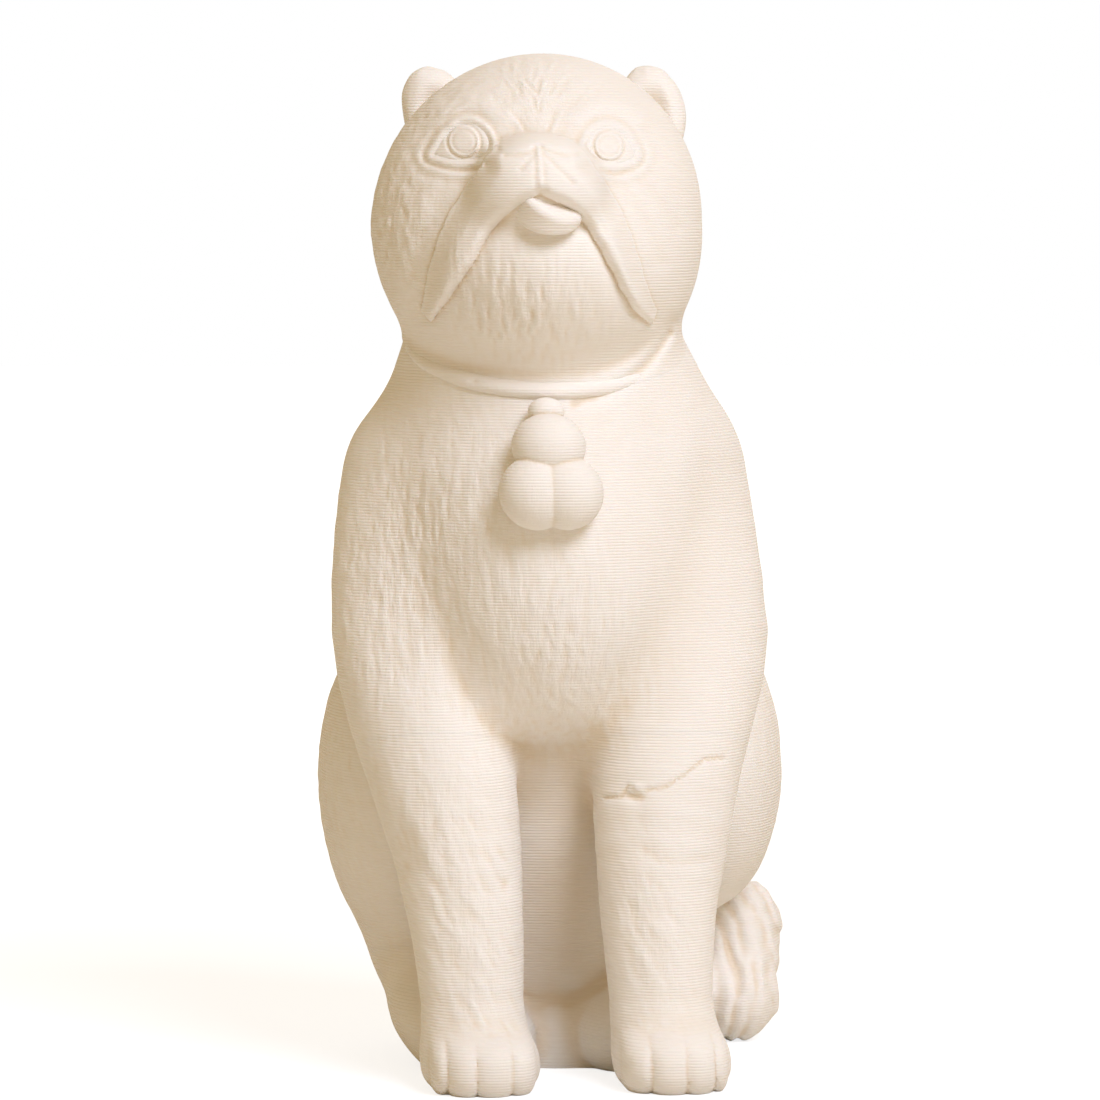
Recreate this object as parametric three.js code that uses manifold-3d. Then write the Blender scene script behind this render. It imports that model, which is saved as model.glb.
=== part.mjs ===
// A seated pug figurine in unglazed cream ceramic. Head, torso, forelegs, haunches, hind feet,
// tail, ears, eyes, tongue, collar and bells are made apart and joined to one another with slip.
// Lengths are in millimetres, +Z is up and the dog looks along -Y.
import * as THREE from "three";
import { SimplifyModifier } from "three/addons/modifiers/SimplifyModifier.js";
import { mergeVertices } from "three/addons/utils/BufferGeometryUtils.js";
import Module from "manifold-3d";

const wasm = await Module();
wasm.setup();

// The whole figure. Every shape below stands upright about X = 0 and the lean is put in last.
const LEAN = -0.033; // sideways step to the dog's right for each millimetre of height
const LEAN_PIVOT = 45; // the height that the lean leaves where it is
const JOINT_GAP = 0.3; // thickness of the slip joint between two pieces
const MUSCLE_BLEND = 14; // how softly the trunk's masses run into one another
const LIMB_BLEND = 7; // how softly a limb runs into the trunk
const LIP_BLEND = 3.5; // how softly the muzzle and flews run into the face

// Trunk: centres, and radii along X, Y and Z
const NECK_TOP = [0, -22, 212];
const NECK_TOP_RADIUS = 34.5;
const NECK_BASE = [2.8, -14, 170];
const NECK_BASE_RADIUS = 49.4;
const RIB_CENTRE = [1, -8, 140];
const RIB_RADII = [50, 46, 62];
const CHEST_CENTRE = [0, -31, 140];
const CHEST_RADII = [38, 40, 49];
const BELLY_CENTRE = [0, 8, 72];
const BELLY_RADII = [38, 42, 64];
const BACK_CENTRE = [1, 14, 116];
const BACK_RADII = [44, 46, 80];
const RUMP_CENTRE = [2, 33, 48];
const RUMP_RADII = [45, 46, 62];
const GROIN_CENTRE = [0, -24, 3];
const GROIN_RADII = [22, 17, 14];
const SEAT_CENTRE = [2.8, 20, 2];
const SEAT_RADII = [38, 44, 22];

// Foreleg: the middle line and radius of the limb from shoulder to wrist
const FORE_SHIFT = -1.3; // both stand towards the dog's right by this, from the elbow down
const FORE_SHIFT_TOP = 120; // height above which they don't
const FORE_SHIFT_BOTTOM = 85; // height below which they do in full
const SHOULDER = [35.5, -14, 162];
const SHOULDER_RADIUS = 17.3;
const UPPER_ARM = [37.9, -26, 120];
const UPPER_ARM_RADIUS = 20.5;
const ELBOW = [30.2, -43.5, 80];
const ELBOW_RADIUS = 19;
const FOREARM = [26.8, -52.5, 50];
const FOREARM_RADIUS = 16.3;
const WRIST = [25.8, -58, 22];
const WRIST_RADIUS = 13.8;
const FORELEG_TOP = 98; // height of the joint with the trunk, at the leg's front
const FORELEG_TOP_TILT = 14; // degrees; that joint falls towards the back
const FORELEG_BACK_Y = -28.5; // the face behind the leg, at elbow height
const FORELEG_BACK_TILT = 13; // degrees; that face follows the leg forwards as it goes down
const FORELEG_INNER_X = 8.4;

// Paws: one palm, and toes in a row across its front
const PALM_CENTRE = [25.6, -67.5, 5.5];
const PALM_RADII = [15.2, 17.4, 13];
const TOE_COUNT = 4;
const TOE_PITCH = 7.4;
const TOE_RADII = [4.6, 9.5, 9.5];
const TOE_BLEND = 3;
const TOE_FRONT = -76.8; // the toes' middles, Y
const TOE_HEIGHT = 4.4;
const TOE_STEP_BACK = 1.6; // the outer toes stand back by this
const TOE_SPLAY = 0.12; // sideways step of a toe's line for each toe from the paw's middle

// Haunch, in a bowl-shaped bed on the trunk's side
const HIND_SHIFT = 2.8; // both thighs stand towards the dog's left by this
const HIND_FOOT_SHIFT = -1.6; // and both hocks and hind feet towards the right by this
const HAUNCH_CENTRE = [42, 20, 74];
const HAUNCH_RADII = [23.5, 43, 48];
const LEFT_HAUNCH_RISE = 6; // the left thigh stands higher than the right by this
const LEFT_HAUNCH_SHORTENING = 3; // and is less tall, to each side of its middle
const HAUNCH_BED_MARGIN = 4; // the bed's rim stands this far outside the thigh
const HAUNCH_FACE_X = 34; // the flat face of the bed
const HOCK = [35, 10, 24];
const HOCK_RADIUS = 13;
const HEEL = [32, -10, 12];
const HEEL_RADIUS = 13;

// Hind foot
const FOOT_CENTRE = [25.5, -19, 7];
const FOOT_RADII = [18, 25, 15];
const FOOT_BACK_Y = -14;
const FOOT_INNER_X = 10;
const FOOT_TOP = 26;

// Tail: a thick brush that leaves the rump and curls forward along the left haunch
const TAIL_ROOT = [10, 78, 20];
const TAIL_ROOT_RADIUS = 13;
const TAIL_BEND = [44, 68, 22];
const TAIL_BEND_RADIUS = 15.5;
const TAIL_CREST = [54, 40, 30.5];
const TAIL_CREST_RADIUS = 14;
const TAIL_TIP = [53.5, 26, 13];
const TAIL_TIP_RADIUS = 13;
const TAIL_BED_GAP = 0.5; // slip between the tail and its bed

// Head: HEAD_CENTRE is the middle of the skull, and the rest is measured from there
const HEAD_CENTRE = [0, -28, 234];
const HEAD_TURN = -4; // degrees about the vertical
const HEAD_BLEND = 8;
const SKULL_RADII = [45.3, 43, 46];
const CROWN_LEAN = 0.07; // the skull's upper half leans to the dog's left by this slope
const CHEEK_CENTRE = [14.5, -7, -11];
const CHEEK_RADII = [23, 30, 25];
const CHIN_CENTRE = [0, -21, -9];
const CHIN_RADII = [27, 34, 25];
const MUZZLE_CENTRE = [0, -38, 10];
const MUZZLE_RADII = [19, 22, 15];
const FLEW_TOP = [7, -52, 9];
const FLEW_TOP_RADIUS = 8.5;
const FLEW_MIDDLE = [18, -46, -5];
const FLEW_MIDDLE_RADIUS = 7.5;
const FLEW_END = [29, -32, -26];
const FLEW_END_RADIUS = 5;

// Eyes: a low dome with a raised iris, in a round bed with a rolled lid about it
const EYE_X = 20.2;
const EYE_Z = 21.5;
const EYE_RADIUS = 6;
const EYE_DEPTH = 2.4; // below the skull's surface
const EYE_RISE = 3.2; // above it
const IRIS_RADIUS = 3.9;
const IRIS_RELIEF = 0.6;
const LID_RADIUS = 1.5;
const LID_RING_RADIUS = 7;

// Ears: button lobes, hollowed in front
const EAR_CENTRE = [29.5, 14, 29];
const EAR_RADII = [9.5, 7.5, 14];
const EAR_SHIFT = 3.5; // both ears stand towards the dog's left by this
const EAR_SPLAY = 11; // degrees outwards
const EAR_LEAN = 5; // degrees; both ears lean towards the dog's right
const EAR_HOLLOW_RADII = [5.5, 5, 9.5];
const EAR_HOLLOW_Y = -8.5;
const EAR_SEAT_DEPTH = 2.5; // below the skull's surface

// Tongue tip
const TONGUE_CENTRE = [2.9, -53, 1.8];
const TONGUE_RADII = [8.6, 9, 4.8];
const TONGUE_DROOP = 24; // degrees below level
const TONGUE_TILT = 12; // degrees; it hangs lower on the dog's left
const TONGUE_SEAT_Y = -48;

// Neck joint: the torso's spigot stands in the head's bore, and the collar covers the seam
const NECK_SEAM_HEIGHT = 201; // on the axis of the spigot
const NECK_SEAM_TILT = 18; // degrees; the seam rises towards the nape
const NECK_AXIS_Y = -20;
const SPIGOT_INSET = 8; // from the inner side of the collar's roll to the spigot
const SPIGOT_RISE = 12;
const COLLAR_RADIUS = 3;
const COLLAR_SUNK = 2.4; // the roll's middle lies inside the neck's sides by this
const COLLAR_DEEPER = 1.9; // the loop's half depth is more than its half width by this
const COLLAR_FORWARD = 2.5; // the loop's middle stands in front of the spigot's axis by this

// Pendant: a small bail over three round bells set in a triangle, hung from the collar's front
const BAIL_RADIUS = 4.7;
const BAIL_ASIDE = -2.2; // from the middle of the neck
const BAIL_FORWARD = 7.6; // in front of the roll's middle
const BAIL_DROP = 5.3; // below the roll's middle
const BELL_RADIUS = 10;
const BELL_DROP = 10.4; // the upper bell's distance below the bail
const BELL_FORWARD = 4.5; // and in front of it
const BELL_SPREAD = 4.1; // each lower bell's distance sideways from the upper one
const BELL_FALL = 12; // and below it
const BELL_STEP_FORWARD = 3; // and in front of it
const BELL_SEAT_DEPTH = 6.2; // the flat back of the bells stands this far behind the upper bell
const BELL_SEAT_TILT = 13; // degrees; the back leans with the chest

// Sizes of the grids the surfaces are drawn on, and the triangles each is then reduced to
const TRUNK_GRID = 5;
const TRUNK_TRIANGLES = 3200;
const LEG_GRID = 2.6;
const LEG_TRIANGLES = 1250;
const FOOT_GRID = 4;
const FOOT_TRIANGLES = 340;
const HEAD_GRID = 3.6;
const HEAD_TRIANGLES = 2000;
const TAIL_GRID = 4;
const TAIL_TRIANGLES = 560;
const GRID_MARGIN = 1.5; // grid steps left free outside a box
const PROBE_SHARE = 0.02; // of a grid step, for measuring a slope
const GENTLEST_SLOPE = 0.1; // squared; nothing is moved further than this slope allows
const PATH_STEPS = 4; // short limbs between one place of a limb and the next
const BEYOND = 400; // larger than the figure, for the blocks that cut it

const radians = THREE.MathUtils.degToRad;

// Masses: each is the distance from a point to a surface, negative inside
function ellipsoidMass(point, centre, radii) {
  const offsets = centre.map((value, axis) => (point[axis] - value) / radii[axis]);
  const reach = Math.hypot(...offsets);
  const slope = Math.hypot(...offsets.map((value, axis) => value / radii[axis]));
  return slope > 0 ? (reach * (reach - 1)) / slope : -Math.min(...radii);
}

function limbMass(point, start, startRadius, end, endRadius) {
  const along = end.map((value, axis) => value - start[axis]);
  const offset = point.map((value, axis) => value - start[axis]);
  const lengthSquared = along.reduce((sum, value) => sum + value * value, 0);
  const projection = along.reduce((sum, value, axis) => sum + value * offset[axis], 0);
  const share = Math.min(Math.max(projection / lengthSquared, 0), 1);
  const radius = startRadius + (endRadius - startRadius) * share;
  return Math.hypot(...offset.map((value, axis) => value - share * along[axis])) - radius;
}

function blend(first, second, softness) {
  const nearness = Math.max(softness - Math.abs(first - second), 0) / softness;
  return Math.min(first, second) - (nearness * nearness * softness) / 4;
}

function blendAll(masses, softness) {
  return masses.reduce((sum, mass) => blend(sum, mass, softness));
}

const oneSide = (point, middle = 0) => [Math.abs(point[0] - middle), point[1], point[2]];

// A limb's places, with more put between them along a smooth curve
function smoothPath(centres, radii) {
  const curveOf = (places) => new THREE.CatmullRomCurve3(places, false, "catmullrom");
  const middles = curveOf(centres.map((centre) => new THREE.Vector3(...centre)));
  const widths = curveOf(radii.map((radius) => new THREE.Vector3(radius, 0, 0)));
  const count = PATH_STEPS * (centres.length - 1);
  return [...Array(count + 1).keys()].map((step) => ({
    centre: middles.getPoint(step / count).toArray(),
    radius: widths.getPoint(step / count).x,
  }));
}

function pathMass(point, path) {
  let nearest = Infinity;
  for (let number = 1; number < path.length; number += 1) {
    const start = path[number - 1];
    const end = path[number];
    nearest = Math.min(
      nearest, limbMass(point, start.centre, start.radius, end.centre, end.radius),
    );
  }
  return nearest;
}

function neckMass(point) {
  return limbMass(point, NECK_TOP, NECK_TOP_RADIUS, NECK_BASE, NECK_BASE_RADIUS);
}

function coreMass(point) {
  return blendAll([
    neckMass(point),
    ellipsoidMass(point, RIB_CENTRE, RIB_RADII),
    ellipsoidMass(point, CHEST_CENTRE, CHEST_RADII),
    ellipsoidMass(point, BELLY_CENTRE, BELLY_RADII),
    ellipsoidMass(point, BACK_CENTRE, BACK_RADII),
    ellipsoidMass(point, RUMP_CENTRE, RUMP_RADII),
  ], MUSCLE_BLEND);
}

const armPath = smoothPath(
  [SHOULDER, UPPER_ARM, ELBOW], [SHOULDER_RADIUS, UPPER_ARM_RADIUS, ELBOW_RADIUS],
);
const foreLegPath = smoothPath(
  [SHOULDER, UPPER_ARM, ELBOW, FOREARM, WRIST],
  [SHOULDER_RADIUS, UPPER_ARM_RADIUS, ELBOW_RADIUS, FOREARM_RADIUS, WRIST_RADIUS],
);

function foreSide(point) {
  const share = (FORE_SHIFT_TOP - point[2]) / (FORE_SHIFT_TOP - FORE_SHIFT_BOTTOM);
  return oneSide(point, FORE_SHIFT * THREE.MathUtils.clamp(share, 0, 1));
}

// The toes run forwards in a row, and fan out from the middle of the paw
const toeSteps = [...Array(TOE_COUNT).keys()].map((number) => number - (TOE_COUNT - 1) / 2);
function toesMass(side) {
  return blendAll(toeSteps.map((step) => {
    const setBack = Math.max(Math.abs(step) - 0.5, 0) * TOE_STEP_BACK;
    const centre = [PALM_CENTRE[0] + step * TOE_PITCH, TOE_FRONT + setBack, TOE_HEIGHT];
    const fanned = [side[0] + step * TOE_SPLAY * (side[1] - TOE_FRONT), side[1], side[2]];
    return ellipsoidMass(fanned, centre, TOE_RADII);
  }), TOE_BLEND);
}

function foreLegMass(point) {
  const side = foreSide(point);
  const paw = blend(ellipsoidMass(side, PALM_CENTRE, PALM_RADII), toesMass(side), TOE_BLEND);
  return blend(pathMass(side, foreLegPath), paw, LIMB_BLEND);
}

const haunchCentre = (side) => [
  HAUNCH_CENTRE[0], HAUNCH_CENTRE[1], HAUNCH_CENTRE[2] + (side > 0 ? LEFT_HAUNCH_RISE : 0),
];
const haunchRadii = (side) => [
  HAUNCH_RADII[0], HAUNCH_RADII[1], HAUNCH_RADII[2] - (side > 0 ? LEFT_HAUNCH_SHORTENING : 0),
];

function hindLegMass(point) {
  const thighSide = oneSide(point, HIND_SHIFT);
  const footSide = oneSide(point, HIND_FOOT_SHIFT);
  const hand = point[0] - HIND_SHIFT;
  return blendAll([
    ellipsoidMass(thighSide, haunchCentre(hand), haunchRadii(hand)),
    limbMass(footSide, HOCK, HOCK_RADIUS, HEEL, HEEL_RADIUS),
    ellipsoidMass(footSide, FOOT_CENTRE, FOOT_RADII),
  ], MUSCLE_BLEND);
}

function bodyMass(point) {
  const trunk = blendAll([
    coreMass(point),
    pathMass(foreSide(point), armPath),
    ellipsoidMass(point, GROIN_CENTRE, GROIN_RADII),
    ellipsoidMass(point, SEAT_CENTRE, SEAT_RADII),
  ], MUSCLE_BLEND);
  return blendAll([trunk, foreLegMass(point), hindLegMass(point)], LIMB_BLEND);
}

function tailMass(point) {
  return blendAll([
    limbMass(point, TAIL_ROOT, TAIL_ROOT_RADIUS, TAIL_BEND, TAIL_BEND_RADIUS),
    limbMass(point, TAIL_BEND, TAIL_BEND_RADIUS, TAIL_CREST, TAIL_CREST_RADIUS),
    limbMass(point, TAIL_CREST, TAIL_CREST_RADIUS, TAIL_TIP, TAIL_TIP_RADIUS),
  ], LIMB_BLEND);
}

const headTurn = new THREE.Matrix4()
  .makeTranslation(...HEAD_CENTRE)
  .multiply(new THREE.Matrix4().makeRotationZ(radians(HEAD_TURN)));
const headTurnBack = headTurn.clone().invert();

function faceMass(local) {
  const side = oneSide(local);
  const crown = [CROWN_LEAN * Math.max(local[2], 0), 0, 0];
  const soft = blendAll([
    ellipsoidMass(local, crown, SKULL_RADII),
    ellipsoidMass(side, CHEEK_CENTRE, CHEEK_RADII),
    ellipsoidMass(local, CHIN_CENTRE, CHIN_RADII),
  ], MUSCLE_BLEND);
  return blendAll([
    soft,
    ellipsoidMass(local, MUZZLE_CENTRE, MUZZLE_RADII),
    limbMass(side, FLEW_TOP, FLEW_TOP_RADIUS, FLEW_MIDDLE, FLEW_MIDDLE_RADIUS),
    limbMass(side, FLEW_MIDDLE, FLEW_MIDDLE_RADIUS, FLEW_END, FLEW_END_RADIUS),
  ], LIP_BLEND);
}

function headMass(point) {
  const local = new THREE.Vector3(...point).applyMatrix4(headTurnBack).toArray();
  return blend(faceMass(local), neckMass(point), HEAD_BLEND);
}

// Solids
function solidOf(geometry) {
  const plain = new THREE.BufferGeometry();
  plain.setAttribute("position", geometry.getAttribute("position").clone());
  plain.setIndex(geometry.getIndex());
  const merged = mergeVertices(plain, 1e-4);
  return new wasm.Manifold(new wasm.Mesh({
    numProp: 3,
    vertProperties: new Float32Array(merged.getAttribute("position").array),
    triVerts: new Uint32Array(merged.getIndex().array),
  }));
}

// The corners, edges and faces of a grid cell. Corner c stands at its bits, x being the lowest.
const CELL_CORNERS = 8;
const cellEdges = [];
for (let corner = 0; corner < CELL_CORNERS; corner += 1) {
  for (let axis = 0; axis < 3; axis += 1) {
    if (!(corner & (1 << axis))) {
      cellEdges.push({ axis, from: corner, to: corner | (1 << axis) });
    }
  }
}
const cellFaces = [];
for (let axis = 0; axis < 3; axis += 1) {
  for (const side of [0, 1 << axis]) {
    const onFace = (corner) => (corner & (1 << axis)) === side;
    const edges = cellEdges.map((edge, number) => number)
      .filter((number) => onFace(cellEdges[number].from) && onFace(cellEdges[number].to));
    cellFaces.push({ edges, corners: [...Array(CELL_CORNERS).keys()].filter(onFace) });
  }
}

function forEachStep(counts, action) {
  for (let z = 0; z < counts[2]; z += 1) {
    for (let y = 0; y < counts[1]; y += 1) {
      for (let x = 0; x < counts[0]; x += 1) {
        action([x, y, z]);
      }
    }
  }
}

// The sheets of surface in one cell, each as the list of cell edges it crosses. Edges are linked
// across the cell's faces; where a face has four, they pair off around its inside corners.
function sheetsOfCell(inside) {
  const group = new Map();
  cellEdges.forEach((edge, number) => {
    if (inside[edge.from] !== inside[edge.to]) {
      group.set(number, number);
    }
  });
  const root = (number) => (group.get(number) === number ? number : root(group.get(number)));
  const link = (pair) => group.set(root(pair[0]), root(pair[1]));
  for (const face of cellFaces) {
    const crossed = face.edges.filter((number) => group.has(number));
    if (crossed.length === 2) {
      link(crossed);
    } else if (crossed.length === 4) {
      for (const corner of face.corners.filter((candidate) => inside[candidate])) {
        link(crossed.filter((number) => (
          cellEdges[number].from === corner || cellEdges[number].to === corner
        )));
      }
    }
  }
  const sheets = new Map();
  for (const number of group.keys()) {
    const key = root(number);
    sheets.set(key, [...(sheets.get(key) ?? []), number]);
  }
  return [...sheets.values()];
}

// Moves a vertex along the slope of a mass until it lies on the surface
function settle(mass, start, spacing) {
  const SETTLING_STEPS = 3;
  const probe = spacing * PROBE_SHARE;
  let point = start;
  for (let step = 0; step < SETTLING_STEPS; step += 1) {
    const slope = point.map((value, axis) => {
      const ahead = point.with(axis, value + probe);
      const behind = point.with(axis, value - probe);
      return (mass(ahead) - mass(behind)) / (2 * probe);
    });
    const squared = slope.reduce((sum, value) => sum + value * value, 0);
    const steepness = Math.max(squared, GENTLEST_SLOPE);
    const move = mass(point) / steepness;
    point = point.map((value, axis) => value - slope[axis] * move);
  }
  const travelled = Math.hypot(...point.map((value, axis) => value - start[axis]));
  return travelled < spacing / 2 ? point : start;
}

// The closed surface of a mass inside a box, drawn on a grid and reduced where it is nearly flat
async function surfaceOf(mass, lower, upper, spacing, triangleCount) {
  const middle = lower.map((value, axis) => (value + upper[axis]) / 2);
  const boxed = (point) => Math.max(
    mass(point),
    ...point.map((value, axis) => Math.abs(value - middle[axis]) - (upper[axis] - middle[axis])),
  );
  const start = lower.map((value) => value - GRID_MARGIN * spacing);
  const counts = upper.map((value, axis) => Math.ceil((value - start[axis]) / spacing) + 2);
  const strides = [1, counts[0], counts[0] * counts[1]];
  const numberOf = (step) => step.reduce((sum, value, axis) => sum + value * strides[axis], 0);
  const placeOf = (step) => step.map((value, axis) => start[axis] + value * spacing);
  const samples = new Float64Array(counts[0] * counts[1] * counts[2]);
  forEachStep(counts, (step) => {
    samples[numberOf(step)] = boxed(placeOf(step));
  });

  const cornerStep = (step, corner) => step.map((value, axis) => value + ((corner >> axis) & 1));
  const vertices = [];
  const vertexOf = new Map();
  const keyOf = (cellNumber, edgeNumber) => cellNumber * cellEdges.length + edgeNumber;
  forEachStep(counts.map((count) => count - 1), (step) => {
    const corners = [...Array(CELL_CORNERS).keys()].map((corner) => cornerStep(step, corner));
    const values = corners.map((corner) => samples[numberOf(corner)]);
    const inside = values.map((value) => value < 0);
    if (inside.every((value) => value === inside[0])) {
      return;
    }
    for (const sheet of sheetsOfCell(inside)) {
      const sum = [0, 0, 0];
      for (const number of sheet) {
        const { from, to } = cellEdges[number];
        const share = values[from] / (values[from] - values[to]);
        const a = placeOf(corners[from]);
        const b = placeOf(corners[to]);
        a.forEach((value, axis) => {
          sum[axis] += (value + (b[axis] - value) * share) / sheet.length;
        });
        vertexOf.set(keyOf(numberOf(step), number), vertices.length);
      }
      vertices.push(settle(boxed, sum, spacing));
    }
  });

  const triangles = [];
  const distance = (a, b) => Math.hypot(...vertices[a].map((value, axis) => (
    value - vertices[b][axis]
  )));
  const around = [[0, 0], [1, 0], [1, 1], [0, 1]];
  forEachStep(counts.map((count) => count - 1), (step) => {
    for (let axis = 0; axis < 3; axis += 1) {
      const near = samples[numberOf(step)] < 0;
      const far = samples[numberOf(step) + strides[axis]] < 0;
      if (near === far) {
        continue;
      }
      const across = (axis + 1) % 3;
      const beside = (axis + 2) % 3;
      const ring = around.map(([back, aside]) => {
        const corner = (back << across) | (aside << beside);
        const cell = numberOf(step) - back * strides[across] - aside * strides[beside];
        const edge = cellEdges.findIndex((item) => item.axis === axis && item.from === corner);
        return vertexOf.get(keyOf(cell, edge));
      });
      const [a, b, c, d] = near ? ring : ring.reverse();
      if (distance(a, c) <= distance(b, d)) {
        triangles.push(a, b, c, a, c, d);
      } else {
        triangles.push(a, b, d, b, c, d);
      }
    }
  });
  const geometry = new THREE.BufferGeometry();
  geometry.setAttribute("position", new THREE.Float32BufferAttribute(vertices.flat(), 3));
  geometry.setIndex(triangles);
  const surplus = Math.max(vertices.length - triangleCount / 2, 0);
  return new SimplifyModifier().modify(geometry, surplus);
}

const solidSurface = async (...details) => solidOf(await surfaceOf(...details));

function swollen(geometry, distance) {
  const swelling = geometry.clone();
  swelling.computeVertexNormals();
  const places = swelling.getAttribute("position");
  const normals = swelling.getAttribute("normal");
  for (let number = 0; number < places.count; number += 1) {
    const outward = new THREE.Vector3().fromBufferAttribute(normals, number);
    const place = new THREE.Vector3().fromBufferAttribute(places, number);
    place.addScaledVector(outward, distance);
    places.setXYZ(number, place.x, place.y, place.z);
  }
  return swelling;
}

// Everything behind a plane, which is pushed out along its normal by an allowance
function behind(plane, allowance = 0) {
  const normal = new THREE.Vector3(...plane.normal).normalize();
  const geometry = new THREE.BoxGeometry(BEYOND, BEYOND, BEYOND);
  geometry.translate(0, 0, allowance - BEYOND / 2);
  const upright = new THREE.Vector3(0, 0, 1);
  geometry.applyQuaternion(new THREE.Quaternion().setFromUnitVectors(upright, normal));
  geometry.translate(...plane.origin);
  return solidOf(geometry);
}

const tilted = (angle) => [Math.sin(radians(angle)), Math.cos(radians(angle))];
const overlap = (solids) => solids.reduce((sum, solid) => sum.intersect(solid));

// The faces that part one piece from the next
const [topSine, topCosine] = tilted(FORELEG_TOP_TILT);
const [backSine, backCosine] = tilted(FORELEG_BACK_TILT);
const foreLegPlanes = (side) => [
  { origin: [0, PALM_CENTRE[1], FORELEG_TOP], normal: [0, topSine, topCosine] },
  { origin: [0, FORELEG_BACK_Y, ELBOW[2]], normal: [0, backCosine, -backSine] },
  { origin: [side * FORELEG_INNER_X + FORE_SHIFT, 0, 0], normal: [-side, 0, 0] },
];
const footPlanes = (side) => [
  { origin: [0, 0, FOOT_TOP], normal: [0, 0, 1] },
  { origin: [0, FOOT_BACK_Y, 0], normal: [0, 1, 0] },
  { origin: [side * FOOT_INNER_X, 0, 0], normal: [-side, 0, 0] },
];
const bedFace = (side) => ({
  origin: [side * HAUNCH_FACE_X + HIND_SHIFT, 0, 0], normal: [-side, 0, 0],
});
const [seamSine, seamCosine] = tilted(NECK_SEAM_TILT);
const neckSeam = { origin: [0, NECK_AXIS_Y, NECK_SEAM_HEIGHT], normal: [0, -seamSine, seamCosine] };
const aboveNeckSeam = { origin: neckSeam.origin, normal: [0, seamSine, -seamCosine] };
const ground = { origin: [0, 0, 0], normal: [0, 0, -1] };

const foreLegSpace = (side, allowance) => overlap(
  foreLegPlanes(side).map((plane) => behind(plane, allowance)),
);
const footSpace = (side, allowance) => overlap(
  footPlanes(side).map((plane) => behind(plane, allowance)),
);

function ball(centre, radii, segments, rings) {
  const geometry = new THREE.SphereGeometry(1, segments, rings);
  geometry.scale(...radii);
  geometry.translate(...centre);
  return solidOf(geometry);
}

const HAUNCH_SEGMENTS = 20;
const HAUNCH_RINGS = 12;
function haunchBed(side, allowance) {
  const [across, along, height] = haunchCentre(side);
  const centre = [side * across + HIND_SHIFT, along, height];
  const radii = haunchRadii(side).map((radius) => radius + HAUNCH_BED_MARGIN + allowance);
  const bowl = ball(centre, radii, HAUNCH_SEGMENTS, HAUNCH_RINGS);
  return bowl.intersect(behind(bedFace(side), allowance));
}

function upright(radius, bottom, top, y, segments) {
  const geometry = new THREE.CylinderGeometry(radius, radius, top - bottom, segments);
  geometry.rotateX(Math.PI / 2);
  geometry.translate(0, y, (top + bottom) / 2);
  return solidOf(geometry);
}

// Boxes that hold each mass, measured from the sizes above
const half = JOINT_GAP / 2;
const LOOSE = 8; // what a box is larger by than the mass inside it
const widest = HAUNCH_CENTRE[0] + HAUNCH_RADII[0] + HIND_SHIFT + LOOSE;
const foremost = TOE_FRONT - TOE_RADII[1] - LOOSE;
const hindmost = RUMP_CENTRE[1] + RUMP_RADII[1] + LOOSE;
const neckTop = NECK_TOP[2] + SPIGOT_RISE;
const underside = -LOOSE;
const bodyLower = [-widest, foremost, underside];
const bodyUpper = [widest, hindmost, neckTop];
const legInner = FORELEG_INNER_X - LOOSE / 2;
const legTop = FORELEG_TOP + LOOSE;
const legBack = WRIST[1] + WRIST_RADIUS + 3 * LOOSE;
const footFront = FOOT_CENTRE[1] - FOOT_RADII[1] - LOOSE;
const footTop = FOOT_TOP + LOOSE;
const sideways = (side, inner, outer) => (
  side > 0 ? [side * inner, side * outer] : [side * outer, side * inner]
);

// Body
const bodyShape = await solidSurface(bodyMass, bodyLower, bodyUpper, TRUNK_GRID, TRUNK_TRIANGLES);
const body = bodyShape.intersect(behind(ground));
const sides = { left: 1, right: -1 };
const tailLower = [
  TAIL_ROOT[0] - TAIL_ROOT_RADIUS - LOOSE, TAIL_TIP[1] - TAIL_TIP_RADIUS - LOOSE, underside,
];
const tailUpper = [
  TAIL_CREST[0] + TAIL_CREST_RADIUS + 2 * LOOSE,
  TAIL_ROOT[1] + TAIL_ROOT_RADIUS + LOOSE,
  TAIL_CREST[2] + TAIL_CREST_RADIUS + LOOSE,
];
const tailShape = await surfaceOf(tailMass, tailLower, tailUpper, TAIL_GRID, TAIL_TRIANGLES);
const tail = solidOf(tailShape).intersect(behind(ground));
const tailBed = solidOf(swollen(tailShape, TAIL_BED_GAP));

const foreLegs = {};
const hindFeet = {};
const haunches = {};
for (const [name, side] of Object.entries(sides)) {
  const [low, high] = sideways(side, legInner, widest);
  const leg = await solidSurface(
    bodyMass, [low, foremost, underside], [high, legBack, legTop], LEG_GRID, LEG_TRIANGLES,
  );
  foreLegs[name] = leg.intersect(foreLegSpace(side, -half)).intersect(behind(ground));
  const foot = await solidSurface(
    bodyMass, [low, footFront, underside], [high, 0, footTop], FOOT_GRID, FOOT_TRIANGLES,
  );
  hindFeet[name] = foot.intersect(footSpace(side, -half))
    .subtract(foreLegSpace(side, half))
    .intersect(behind(ground));
  haunches[name] = body
    .intersect(haunchBed(side, -half))
    .subtract(foreLegSpace(side, half))
    .subtract(footSpace(side, half))
    .subtract(tailBed);
}

// The collar's loop follows the neck where the seam crosses it
const seamShare = (NECK_TOP[2] - NECK_SEAM_HEIGHT) / (NECK_TOP[2] - NECK_BASE[2]);
const seamNeckRadius = NECK_TOP_RADIUS + (NECK_BASE_RADIUS - NECK_TOP_RADIUS) * seamShare;
const collarHalfWidth = seamNeckRadius - COLLAR_SUNK;
const collarHalfDepth = collarHalfWidth + COLLAR_DEEPER;
const spigotRadius = collarHalfWidth - COLLAR_RADIUS - SPIGOT_INSET;

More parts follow.
